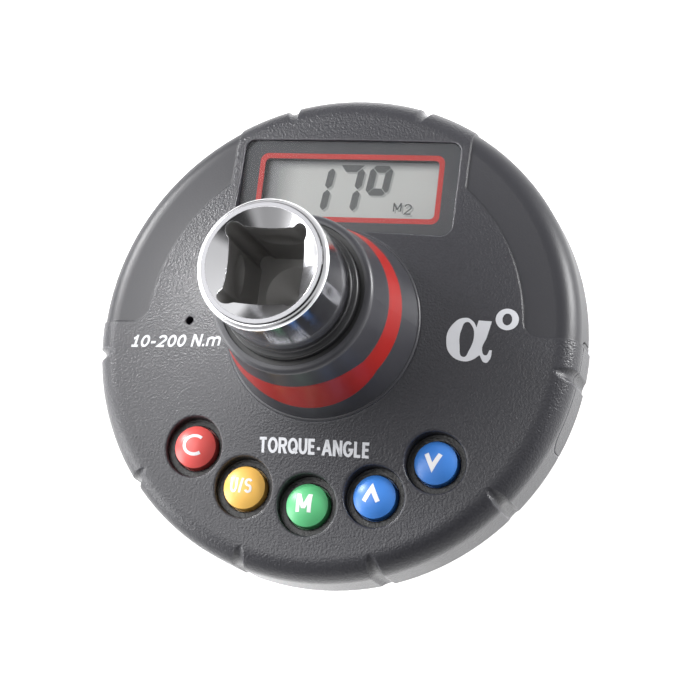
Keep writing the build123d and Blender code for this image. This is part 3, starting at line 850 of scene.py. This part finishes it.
def filled_curve(outlines: list[list[tuple[float, float, bool]]]) -> Shape:
    """Fill smooth closed outlines, the later ones being holes.

    Args:
        outlines: For each outline its points, with True for a sharp corner.

    Returns:
        The flat faces, in the outlines' own unit.
    """
    curve = bpy.data.curves.new("outline", "CURVE")
    curve.dimensions = "2D"
    curve.fill_mode = "BOTH"
    curve.resolution_u = 5
    for outline in outlines:
        spline = curve.splines.new("BEZIER")
        spline.bezier_points.add(len(outline) - 1)
        spline.use_cyclic_u = True
        for point, (x, y, sharp) in zip(spline.bezier_points, outline):
            point.co = (x, y, 0)
            point.handle_left_type = point.handle_right_type = "VECTOR" if sharp else "AUTO"
    holder = bpy.data.objects.new("outline", curve)
    bpy.context.scene.collection.objects.link(holder)
    bpy.context.view_layer.update()
    mesh = bpy.data.meshes.new_from_object(holder.evaluated_get(bpy.context.evaluated_depsgraph_get()))
    bpy.data.objects.remove(holder)
    bpy.data.curves.remove(curve)
    flat = bmesh.new()
    flat.from_mesh(mesh)
    bpy.data.meshes.remove(mesh)
    return flat


class Ground:
    """The outer surface of a frame node, on which prints are laid."""

    def __init__(self, node: bpy.types.Object) -> None:
        """Read the node's mesh.

        Args:
            node: The frame's node.
        """
        copy = bmesh.new()
        copy.from_mesh(node.data)
        self.tree = BVHTree.FromBMesh(copy)
        self.top = max(vertex.co.z for vertex in copy.verts)
        copy.free()

    def height(self, x: float, y: float) -> float:
        """Find the surface below a place.

        Args:
            x: The place's X in metres.
            y: Its Y in metres.

        Returns:
            The surface's height in metres.
        """
        hit = self.tree.ray_cast(Vector((x, y, self.top + DROP_MM * MM)), Vector((0, 0, -1)))
        if hit[0] is None:
            raise ValueError(f"nothing lies below the print at {x}, {y}")
        return hit[0].z


@dataclass
class PrintInk:
    """A thin layer of ink that follows the surface below it."""

    ground: Ground
    thickness_mm: float = 0.03
    lift_mm: float = 0.01
    step_mm: float = 0.6
    cuts: int = 3

    def lay(self, name: str, shape: Shape, material: Material, body: str, place: Point) -> None:
        """Lay a flat shape on the ground as a piece.

        Args:
            name: The piece's name.
            shape: A flat shape in millimetres. It is used up.
            material: The ink.
            body: The body that it rides on.
            place: Where the shape's origin goes, in the frame's X and Y, in millimetres.
        """
        bmesh.ops.translate(shape, vec=(*place, 0), verts=shape.verts)
        bmesh.ops.remove_doubles(shape, verts=shape.verts, dist=MERGE_MM)
        for _ in range(self.cuts):
            long_edges = [edge for edge in shape.edges if edge.calc_length() > self.step_mm]
            if not long_edges:
                break
            bmesh.ops.subdivide_edges(shape, edges=long_edges, cuts=1)
            bmesh.ops.triangulate(shape, faces=shape.faces)
        bmesh.ops.scale(shape, vec=(MM, MM, MM), verts=shape.verts)
        for vertex in shape.verts:
            vertex.co.z = self.ground.height(vertex.co.x, vertex.co.y) + self.lift_mm * MM
        shape.normal_update()
        downward = [face for face in shape.faces if face.normal.z < 0]
        bmesh.ops.reverse_faces(shape, faces=downward)
        top = bmesh.ops.extrude_face_region(shape, geom=shape.faces[:])
        raised = [item for item in top["geom"] if isinstance(item, bmesh.types.BMVert)]
        bmesh.ops.translate(shape, vec=(0, 0, self.thickness_mm * MM), verts=raised)
        bmesh.ops.recalc_face_normals(shape, faces=shape.faces)
        piece = link_mesh(name, shape, material)
        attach(piece, body)
        LOG.info("laid %s, %d faces", name, len(piece.data.polygons))


@dataclass
class Housing:
    """The two shells, the door, the boss's collar, the band and the seals, with the face's lettering."""

    nodes: dict
    ink: Material
    shell: SparkErodedShell = SparkErodedShell()
    # ABS from a polished mould: a smooth satin gleam round the boss
    collar: MouldedPlastic = MouldedPlastic("polished_abs", "3C3C41", 0.34, 0.5, 0.002, "38383D", 0.1)
    # Resin dyed through: an even deep red with a low sheen
    band: MouldedPlastic = MouldedPlastic("red_band_resin", "A61E19", 0.36, 0.5, 0.003, "9C1B17", 0.08)
    # Moulded nitrile rubber: a black line with a narrow grey gleam
    seal: MouldedPlastic = MouldedPlastic("seal_rubber", "1B1B1D", 0.38, 0.3, 0.004, "232325", 0.05)
    range_place: Point = (-27.7, -3.4)
    range_width_mm: float = 18.6
    range_hand: StrokeHand = StrokeHand(2.25, 0.43, 0.2, narrow=1.06)
    label_place: Point = (0.4, -21.6)
    label_width_mm: float = 20.0
    label_hand: StrokeHand = StrokeHand(2.65, 0.49, narrow=0.74)
    degree_place: Point = (31.67, 3.02)
    degree_outer_mm: Point = (1.97, 1.92)
    degree_inner_mm: Point = (0.82, 1.06)
    degree_sides: int = 36

    def dress(self) -> None:
        """Give the shells, the collar, the band and the seals their finishes."""
        for finish, names in (
            (self.shell, ("front_shell", "back_shell", "battery_door")),
            (self.collar, ("boss_collar",)),
            (self.band, ("red_band",)),
            (self.seal, ("upper_seal", "lower_seal", "shell_gasket")),
        ):
            material = finish.material()
            for name in names:
                paint(self.nodes[name], material)

    def angle_letter(self) -> Shape:
        """Draw the Greek letter that stands for an angle, at its place on the face.

        Returns:
            The flat letter, in millimetres.
        """
        bold = [
            (26.9, 2.4, True), (29.1, 2.45, True), (28.56, -0.36, False), (27.96, -2.8, False),
            (28.6, -3.65, False), (29.2, -2.67, True), (29.6, -2.66, True), (29.42, -4.2, False),
            (28.7, -4.94, False), (27.6, -3.7, True), (26.5, -4.6, False), (25.1, -5.02, False),
            (22.9, -4.2, False), (21.89, -1.8, False), (22.6, 1.15, False), (24.66, 2.66, False),
            (26.05, 2.1, False), (26.65, 1.11, True),
        ]
        hole = [
            (24.95, 1.94, False), (24.2, 0.5, False), (24.15, -2.35, False), (24.91, -4.29, False),
            (25.8, -3.0, False), (26.38, -0.3, False), (25.9, 1.3, False),
        ]
        return filled_curve([bold, hole])

    def degree_ring(self) -> Shape:
        """Draw the raised ring beside the letter, centred on the origin.

        Returns:
            The flat ring, in millimetres.
        """
        flat = bmesh.new()
        for radii in (self.degree_outer_mm, self.degree_inner_mm):
            ring = bmesh.ops.create_circle(flat, segments=self.degree_sides, radius=1.0)
            bmesh.ops.scale(flat, vec=(*radii, 1), verts=ring["verts"])
        bmesh.ops.bridge_loops(flat, edges=flat.edges)
        return flat

    def print_face(self) -> None:
        """Lay the measuring range, the label and the angle sign on the face."""
        ink = PrintInk(Ground(self.nodes["front_shell"]))
        words = self.range_hand.write("10-200 N.m", self.range_width_mm)
        ink.lay("print_range", words, self.ink, "housing", self.range_place)
        label = self.label_hand.write("TORQUE-ANGLE", self.label_width_mm)
        ink.lay("print_label", label, self.ink, "housing", self.label_place)
        ink.lay("print_angle_letter", self.angle_letter(), self.ink, "housing", (0.0, 0.0))
        ink.lay("print_degree", self.degree_ring(), self.ink, "housing", self.degree_place)


@dataclass
class Display:
    """The window, its printed border and the liquid crystal figures."""

    nodes: dict
    # Screen ink behind the window: a flat dark grey frame with a thin red line
    border: MouldedPlastic = MouldedPlastic("window_border_print", "505055", 0.5, 0.2, 0.001, "4B4B50")
    line: MouldedPlastic = MouldedPlastic("window_line_print", "D0322D", 0.4, 0.3, 0.001, "CA2D28")
    window: ClearWindow = ClearWindow()
    panel: CrystalPanel = CrystalPanel()
    # Turned crystal: flat mid grey figures, over the paler shadow that they cast on the reflector
    segment: MouldedPlastic = MouldedPlastic("crystal_segment", "565859", 0.5, 0.2, 0.001, "505254")
    shadow: MouldedPlastic = MouldedPlastic("crystal_shadow", "A9AAA9", 0.5, 0.2, 0.001, "A3A4A4")
    lean: float = 0.13
    base_y_mm: float = 22.5
    cell_mm: Point = (5.05, 9.0)
    pitch_mm: float = 5.55
    first_x_mm: float = -9.32
    bar_mm: float = 1.32
    tip_mm: float = 0.6
    gap_mm: float = 0.07
    corner_cut_mm: float = 0.9
    top_inset_mm: float = 0.35
    top_slope_mm: float = 0.2
    ring_narrow_mm: float = 0.4
    ring_rise_mm: float = 3.35
    mark_hand: StrokeHand = StrokeHand(1.6, 0.25)
    mark_two_hand: StrokeHand = StrokeHand(2.0, 0.25)
    mark_place: Point = (9.0, 23.75)
    mark_two_place: Point = (10.9, 23.4)
    shadow_shift_mm: float = 0.35

    def add_bar(self, flat: Shape, start: Point, end: Point) -> None:
        """Draw one bar of a figure, pointed at both ends.

        Args:
            flat: The flat shape that the bar is added to.
            start: One tip.
            end: The other tip.
        """
        first, last = Vector((*start, 0)), Vector((*end, 0))
        along = (last - first).normalized()
        first, last = first + along * self.gap_mm, last - along * self.gap_mm
        across = Vector((-along.y, along.x, 0)) * self.bar_mm / 2
        slope = along * self.bar_mm / 2
        outline = [first, first + slope - across, last - slope - across]
        outline += [last, last - slope + across, first + slope + across]
        flat.faces.new([flat.verts.new(point) for point in outline])

    def add_box_ring(self, flat: Shape, low: Point, high: Point) -> None:
        """Draw a ring of four bars that meet in mitres.

        Args:
            flat: The flat shape that the bars are added to.
            low: The ring's lower left corner.
            high: Its upper right corner.
        """
        box = (low, (high[0], low[1]), high, (low[0], high[1]))
        corners = [Vector((*corner, 0)) for corner in box]
        cut, bar = self.corner_cut_mm, self.bar_mm
        for index, corner in enumerate(corners):
            after = corners[(index + 1) % 4]
            along = (after - corner).normalized()
            inward = Vector((-along.y, along.x, 0))
            outline = []
            for end, way in ((corner, along), (after, -along)):
                start = end + way * self.gap_mm
                inner = start + way * bar + inward * bar
                side = [inner, start + (way + inward) * cut / 2, start + way * cut]
                outline += side if way is along else side[::-1]
            flat.faces.new([flat.verts.new(point) for point in outline])

    def figures(self) -> Shape:
        """Draw the figures 1 and 7, the square degree ring and the small memory mark.

        Returns:
            One flat shape, in millimetres, at its place on the panel.
        """
        flat = bmesh.new()
        width, height = self.cell_mm
        low = self.base_y_mm
        tip_low, tip_high = low + self.tip_mm / 2, low + height - self.tip_mm
        middle = (tip_low + tip_high) / 2
        for cell in (0, 1):
            right = self.first_x_mm + cell * self.pitch_mm + width - self.bar_mm / 2
            self.add_bar(flat, (right, tip_low), (right, middle))
            self.add_bar(flat, (right, middle), (right, tip_high))
        left = self.first_x_mm + self.pitch_mm
        top, under = low + height, low + height - self.bar_mm
        inset, slope = self.top_inset_mm, self.top_slope_mm
        corners = [(left + inset, top), (left + width - inset, top)]
        corners += [(left + width - self.bar_mm - slope, under), (left + self.bar_mm + slope, under)]
        flat.faces.new([flat.verts.new((x, y, 0)) for x, y in corners])
        left = self.first_x_mm + 2 * self.pitch_mm
        narrow = self.ring_narrow_mm
        self.add_box_ring(flat, (left + narrow, low + self.ring_rise_mm), (left + width - narrow, top))
        for vertex in flat.verts:
            vertex.co.x += self.lean * (vertex.co.y - low)
        for hand, letter, place in (
            (self.mark_hand, "M", self.mark_place),
            (self.mark_two_hand, "2", self.mark_two_place),
        ):
            sign = hand.write(letter)
            bmesh.ops.translate(sign, vec=(*place, 0), verts=sign.verts)
            mesh = bpy.data.meshes.new("sign")
            sign.to_mesh(mesh)
            sign.free()
            flat.from_mesh(mesh)
            bpy.data.meshes.remove(mesh)
        return flat

    def build(self) -> None:
        """Dress the window and lay the figures and their soft shadow on the panel."""
        paint(self.nodes["display_lens"], self.window.material())
        paint(self.nodes["display_mask"], self.border.material())
        paint(self.nodes["display_line"], self.line.material())
        paint(self.nodes["lcd_panel"], self.panel.material())
        ground = Ground(self.nodes["lcd_panel"])
        shift = self.shadow_shift_mm
        below = PrintInk(ground, thickness_mm=0.01, lift_mm=0.004, step_mm=2.0)
        below.lay("lcd_shadow", self.figures(), self.shadow.material(), "housing", (shift, -shift))
        above = PrintInk(ground, thickness_mm=0.012, lift_mm=0.025, step_mm=2.0)
        above.lay("lcd_figures", self.figures(), self.segment.material(), "housing", (0.0, 0.0))


@dataclass(frozen=True)
class ButtonCap:
    """One round button: its node, its moulded colour and its legend."""

    name: str
    color: str
    legend: Legend
    hand: StrokeHand = StrokeHand(3.2, 0.68, narrow=0.88)


@dataclass
class Keypad:
    """The five round buttons and their legends.

    The caps are ABS moulded in one colour in a polished mould: a bright even colour whose domes
    catch one soft highlight each.
    """

    nodes: dict
    ink: Material
    caps: tuple[ButtonCap, ...] = (
        ButtonCap("clear", "DC5854", Legend.CLEAR, StrokeHand(3.9, 0.56, narrow=1.3)),
        ButtonCap("unit", "F5C262", Legend.UNIT, StrokeHand(2.6, 0.42, narrow=0.66)),
        ButtonCap("memory", "5CBC7E", Legend.MEMORY),
        ButtonCap("up", "3E80D4", Legend.UP),
        ButtonCap("down", "3E80D4", Legend.DOWN),
    )
    chevron_mm: Point = (1.25, 1.2)
    chevron_stroke_mm: float = 0.8
    shift_mm: Point = (-0.3, 0.2)
    roughness: float = 0.34
    grain_mm: float = 0.4
    grain_height_mm: float = 0.002

    def legend_shape(self, cap: ButtonCap) -> Shape:
        """Draw one cap's legend, centred on the origin.

        Args:
            cap: The button.

        Returns:
            The flat legend, in millimetres.
        """
        if cap.legend not in (Legend.UP, Legend.DOWN):
            return cap.hand.write(cap.legend.value)
        half, rise = self.chevron_mm
        tip = rise if cap.legend is Legend.UP else -rise
        flat = bmesh.new()
        add_ribbon(flat, [(-half, -tip), (0.0, tip), (half, -tip)], self.chevron_stroke_mm)
        return flat

    def build(self) -> None:
        """Dress the buttons and print their legends."""
        grain = (self.grain_mm, self.grain_height_mm)
        resins: dict[str, Material] = {}
        for cap in self.caps:
            if cap.color not in resins:
                resin = MouldedPlastic(f"button_resin_{cap.name}", cap.color, self.roughness, *grain)
                resins[cap.color] = resin.material()
            body = "button_" + cap.name
            node = self.nodes[body]
            paint(node, resins[cap.color])
            low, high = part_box(body)
            x = (low[0] + high[0]) / 2 / MM + self.shift_mm[0]
            y = (low[1] + high[1]) / 2 / MM + self.shift_mm[1]
            ink = PrintInk(Ground(node), thickness_mm=0.02, lift_mm=0.008, step_mm=0.4)
            ink.lay("legend_" + cap.name, self.legend_shape(cap), self.ink, body, (x, y))


@dataclass
class DriveShaft:
    """The chrome shaft with its ball, ring and pin."""

    nodes: dict
    plate: PlatedSteel = PlatedSteel()
    # Spring steel left bare from the grinding wheel: a darker grey than the chrome, and blurred
    ground_steel: BareMetal = BareMetal("ground_spring_steel", "8E9094", 0.28)

    def dress(self) -> None:
        """Give the shaft and its small steel parts their finishes."""
        paint(self.nodes["drive_shaft"], self.plate.material())
        steel = self.ground_steel.material()
        for name in ("detent_ball", "detent_spring", "retaining_ring", "locating_pin"):
            paint(self.nodes[name], steel)


@dataclass
class Innards:
    """The circuit board, battery parts and fixings inside the housing."""

    nodes: dict
    chips: tuple[str, ...] = ("processor_chip", "amplifier_chip", "gyroscope_chip")
    contacts: tuple[str, ...] = ("battery_contact_inner", "battery_contact_outer")

    def dress(self) -> None:
        """Give each inner piece its finish."""
        switches = [name for name in self.nodes if name.startswith("switch_")]
        finishes = [
            # Solder mask over glass laminate: a glossy dark green
            (MouldedPlastic("board_laminate", "1E6B3A", 0.35, 0.6, 0.01, "1A6035"), ["circuit_board"]),
            # Moulded epoxy: a chalky near black
            (MouldedPlastic("chip_epoxy", "232326", 0.55, 0.15, 0.006), self.chips),
            # Fired ceramic: small dull tan blocks
            (MouldedPlastic("capacitor_ceramic", "B08A5E", 0.5, 0.2, 0.004, "A37F55"), ["capacitors"]),
            # Polyimide film: glossy amber
            (MouldedPlastic("gauge_film", "C98A2B", 0.3, 0.5, 0.003, "BC7F25"), ["strain_gauges"]),
            # Thin wire insulation: a soft red sheen
            (MouldedPlastic("wire_sleeve", "B03A32", 0.4, 0.4, 0.003), ["gauge_wires"]),
            # Printed shrink sleeve: a tight glossy blue skin
            (
                MouldedPlastic("cell_sleeve", "3C5C86", 0.3, 0.8, 0.002, "385680"),
                ["battery_cell_1", "battery_cell_2"],
            ),
            # Layered silicone strip: dull pink
            (MouldedPlastic("connector_silicone", "8A5552", 0.6, 0.1, 0.006), ["lcd_connector"]),
            # Nickel plate on drawn steel: a warm soft mirror
            (BareMetal("nickel_plate", "C4C3BD", 0.25), ["crystal", *self.contacts, "shell_screws"]),
            # Unpolished moulding: an even dull black
            (
                MouldedPlastic("inner_moulding", "2A2A2C", 0.5, 0.3, 0.006, "262628"),
                ["lcd_frame", "sounder", "battery_cradle", *switches],
            ),
        ]
        for finish, names in finishes:
            material = finish.material()
            for name in names:
                paint(self.nodes[name], material)


@dataclass(frozen=True)
class Patch:
    """A dark panel of the room that polished metal mirrors: where it is, and how far it shades."""

    azimuth_deg: float
    elevation_deg: float
    half_angle_deg: float
    light: float
    core_share: float = 0.4

    def toward(self) -> tuple[float, float, float]:
        """Work out which way the panel lies.

        Returns:
            A direction of length 1.
        """
        azimuth, elevation = math.radians(self.azimuth_deg), math.radians(self.elevation_deg)
        level = math.cos(elevation)
        return (level * math.cos(azimuth), level * math.sin(azimuth), math.sin(elevation))


@dataclass(frozen=True)
class Lamp:
    """A soft square lamp: its place and side in metres, and its power in watts."""

    name: str
    place: tuple[float, float, float]
    side: float
    power: float


@dataclass
class Studio:
    """A pale floor, soft lamps and the camera at the photograph's place.

    The camera was worked out from the object's circles: its place and turn are in the frame's axes.
    """

    face_height_mm: float = 47.0
    turn: tuple[float, float, float] = (-0.259044, -0.28474, -0.079014)
    shift_mm: tuple[float, float, float] = (-3.713, 3.623, -401.037)
    focal_px: float = 2292.49
    image_px: float = 700.0
    sensor_mm: float = 36.0
    near_clip_m: float = 0.01
    room_light: float = 0.3
    overhead_light: float = 0.6
    overhead_span: Point = (0.15, 0.9)
    patches: tuple[Patch, ...] = (
        Patch(-55, 42, 34, 0.06),
        Patch(115, 2, 24, 0.12),
        Patch(-112, 22, 30, 0.5),
    )
    floor_color: str = "F2F2F2"
    floor_glow: float = 0.75
    floor_half_m: float = 2.0
    card_light: float = 0.12
    card_span: Point = (0.2, 0.46)
    card_start_m: float = 0.06
    card_full_m: float = 0.15
    lamps: tuple[Lamp, ...] = (
        Lamp("key", (-0.26, 0.05, 0.42), 0.39, 1.6),
        Lamp("edge", (-0.4, 0.22, 0.26), 0.1, 2.0),
        Lamp("side", (0.437, 0.232, 0.117), 0.18, 2.7),
        Lamp("left", (-0.46, -0.14, 0.17), 0.26, 1.5),
    )

    def camera(self) -> None:
        """Set the camera at the photograph's viewpoint."""
        axis = Vector(self.turn)
        rotation = Matrix.Rotation(axis.length, 3, axis)
        place = rotation.transposed() @ (-Vector(self.shift_mm))
        place.z += self.face_height_mm
        data = bpy.data.cameras.new("camera")
        data.sensor_width = self.sensor_mm
        data.sensor_fit = "HORIZONTAL"
        data.lens = self.focal_px / self.image_px * self.sensor_mm
        data.clip_start = self.near_clip_m
        camera = bpy.data.objects.new("camera", data)
        bpy.context.scene.collection.objects.link(camera)
        camera.matrix_world = Matrix.Translation(place * MM) @ rotation.transposed().to_4x4()
        bpy.context.scene.camera = camera

    def light(self, lamp: Lamp) -> None:
        """Hang one lamp, pointed at the face.

        Args:
            lamp: The lamp.
        """
        data = bpy.data.lights.new(lamp.name, "AREA")
        data.size = lamp.side
        data.energy = lamp.power
        holder = bpy.data.objects.new(lamp.name, data)
        bpy.context.scene.collection.objects.link(holder)
        target = Vector((0, 0, self.face_height_mm * MM))
        aim = (Vector(lamp.place) - target).normalized()
        turned = aim.to_track_quat("Z", "Y").to_matrix().to_4x4()
        holder.matrix_world = Matrix.Translation(lamp.place) @ turned

    def world(self) -> None:
        """Light the room evenly and show it white.

        Polished metal mirrors a darker ceiling and dark panels in place of the plain white, so that
        its round walls show against the white background.
        """
        world = bpy.data.worlds.new("room")
        bpy.context.scene.world = world
        tree = empty_tree(world)
        sight = add_node(tree, "TexCoord", {}).outputs["Generated"]
        _, _, up = add_node(tree, "SeparateXYZ", {0: sight}).outputs
        ceiling = step(*self.overhead_span, 1, self.overhead_light)
        mirrored = add_node(tree, "MapRange", {**SOFT, **ceiling, "Value": up})
        for patch in self.patches:
            near = add_node(tree, "VectorMath", {**ALONG, 0: sight, 1: patch.toward()})
            edge = math.cos(math.radians(patch.half_angle_deg))
            core = math.cos(math.radians(patch.half_angle_deg * patch.core_share))
            shade = add_node(tree, "MapRange", {**SOFT, **step(edge, core, 1, patch.light), "Value": near})
            mirrored = add_node(tree, "Math", {**TIMES, 0: mirrored, 1: shade})
        path = add_node(tree, "LightPath", {}).outputs
        seen = add_node(tree, "Math", {**LARGER, 0: path["Is Camera Ray"], 1: path["Is Transmission Ray"]})
        lit = add_node(tree, "Mix", {"Factor": path["Is Glossy Ray"], "A": self.room_light, "B": mirrored})
        strength = add_node(tree, "Mix", {"Factor": seen, "A": lit, "B": 1.0})
        background = add_node(tree, "Background", {"Color": linear(WHITE), "Strength": strength})
        add_node(tree, "OutputWorld", {"Surface": background})

    def floor(self) -> None:
        """Lay pale paper below the male square's end, white outside the object's soft shadow.

        Four dark cards lie on it towards the corners, as beside a polished thing in a real studio.
        Only mirror rays see them: they draw dark streaks down the chrome.
        """
        sheet = bmesh.new()
        bmesh.ops.create_grid(sheet, x_segments=1, y_segments=1, size=self.floor_half_m)
        material = bpy.data.materials.new("floor_paper")
        tree = empty_tree(material)
        path = add_node(tree, "LightPath", {}).outputs
        glossy, through = path["Is Glossy Ray"], path["Is Transmission Ray"]
        mirrors = add_node(tree, "Math", {**LARGER, 0: glossy, 1: through})
        seen = add_node(tree, "Math", {**LARGER, 0: path["Is Camera Ray"], 1: mirrors})
        paper = add_node(tree, "BsdfDiffuse", {"Color": linear(self.floor_color)})
        place = add_node(tree, "TexCoord", {}).outputs["Object"]
        toward = add_node(tree, "VectorMath", {"operation": "NORMALIZE", 0: place})
        x, y, _ = add_node(tree, "SeparateXYZ", {0: toward}).outputs
        product = add_node(tree, "Math", {**TIMES, 0: x, 1: y})
        corner = add_node(tree, "Math", {**UNSIGNED, 0: product})
        dark = step(*self.card_span, 1, self.card_light)
        cards = add_node(tree, "MapRange", {**SOFT, **dark, "Value": corner})
        reach = add_node(tree, "VectorMath", {**LENGTH, 0: place})
        fall = step(self.card_start_m, self.card_full_m)
        beyond = add_node(tree, "MapRange", {**SOFT, **fall, "Value": reach})
        mirrored = add_node(tree, "Mix", {"Factor": beyond, "A": 1.0, "B": cards})
        shine = add_node(tree, "Mix", {"Factor": mirrors, "A": self.floor_glow, "B": mirrored})
        glow = add_node(tree, "Emission", {"Color": linear(WHITE), "Strength": shine})
        bright = add_node(tree, "AddShader", {0: paper, 1: glow})
        surface = add_node(tree, "MixShader", {0: seen, 1: paper, 2: bright})
        add_node(tree, "OutputMaterial", {"Surface": surface})
        link_mesh("floor", sheet, material)

    def build(self) -> None:
        """Set up the camera, the world, the floor and the lamps."""
        bpy.context.scene.view_settings.view_transform = "Standard"
        self.camera()
        self.world()
        self.floor()
        for lamp in self.lamps:
            self.light(lamp)


def main() -> None:
    """Build the looks in order."""
    logging.basicConfig(level=logging.INFO, format="%(message)s")
    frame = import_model()
    nodes = frame["nodes"]
    # Pad-printed inks: a flat off-white on the face, and a cleaner white on the bright buttons
    ink = MouldedPlastic("white_ink", "D6D8DD", 0.45, 0.3, 0.002, "CED0D5").material()
    legend_ink = MouldedPlastic("legend_ink", "EFEFF1", 0.45, 0.3, 0.002, "E8E8EB").material()
    Studio().build()
    DriveShaft(nodes).dress()
    housing = Housing(nodes, ink)
    housing.dress()
    housing.print_face()
    Display(nodes).build()
    Keypad(nodes, legend_ink).build()
    Innards(nodes).dress()


if __name__ == "__main__":
    main()
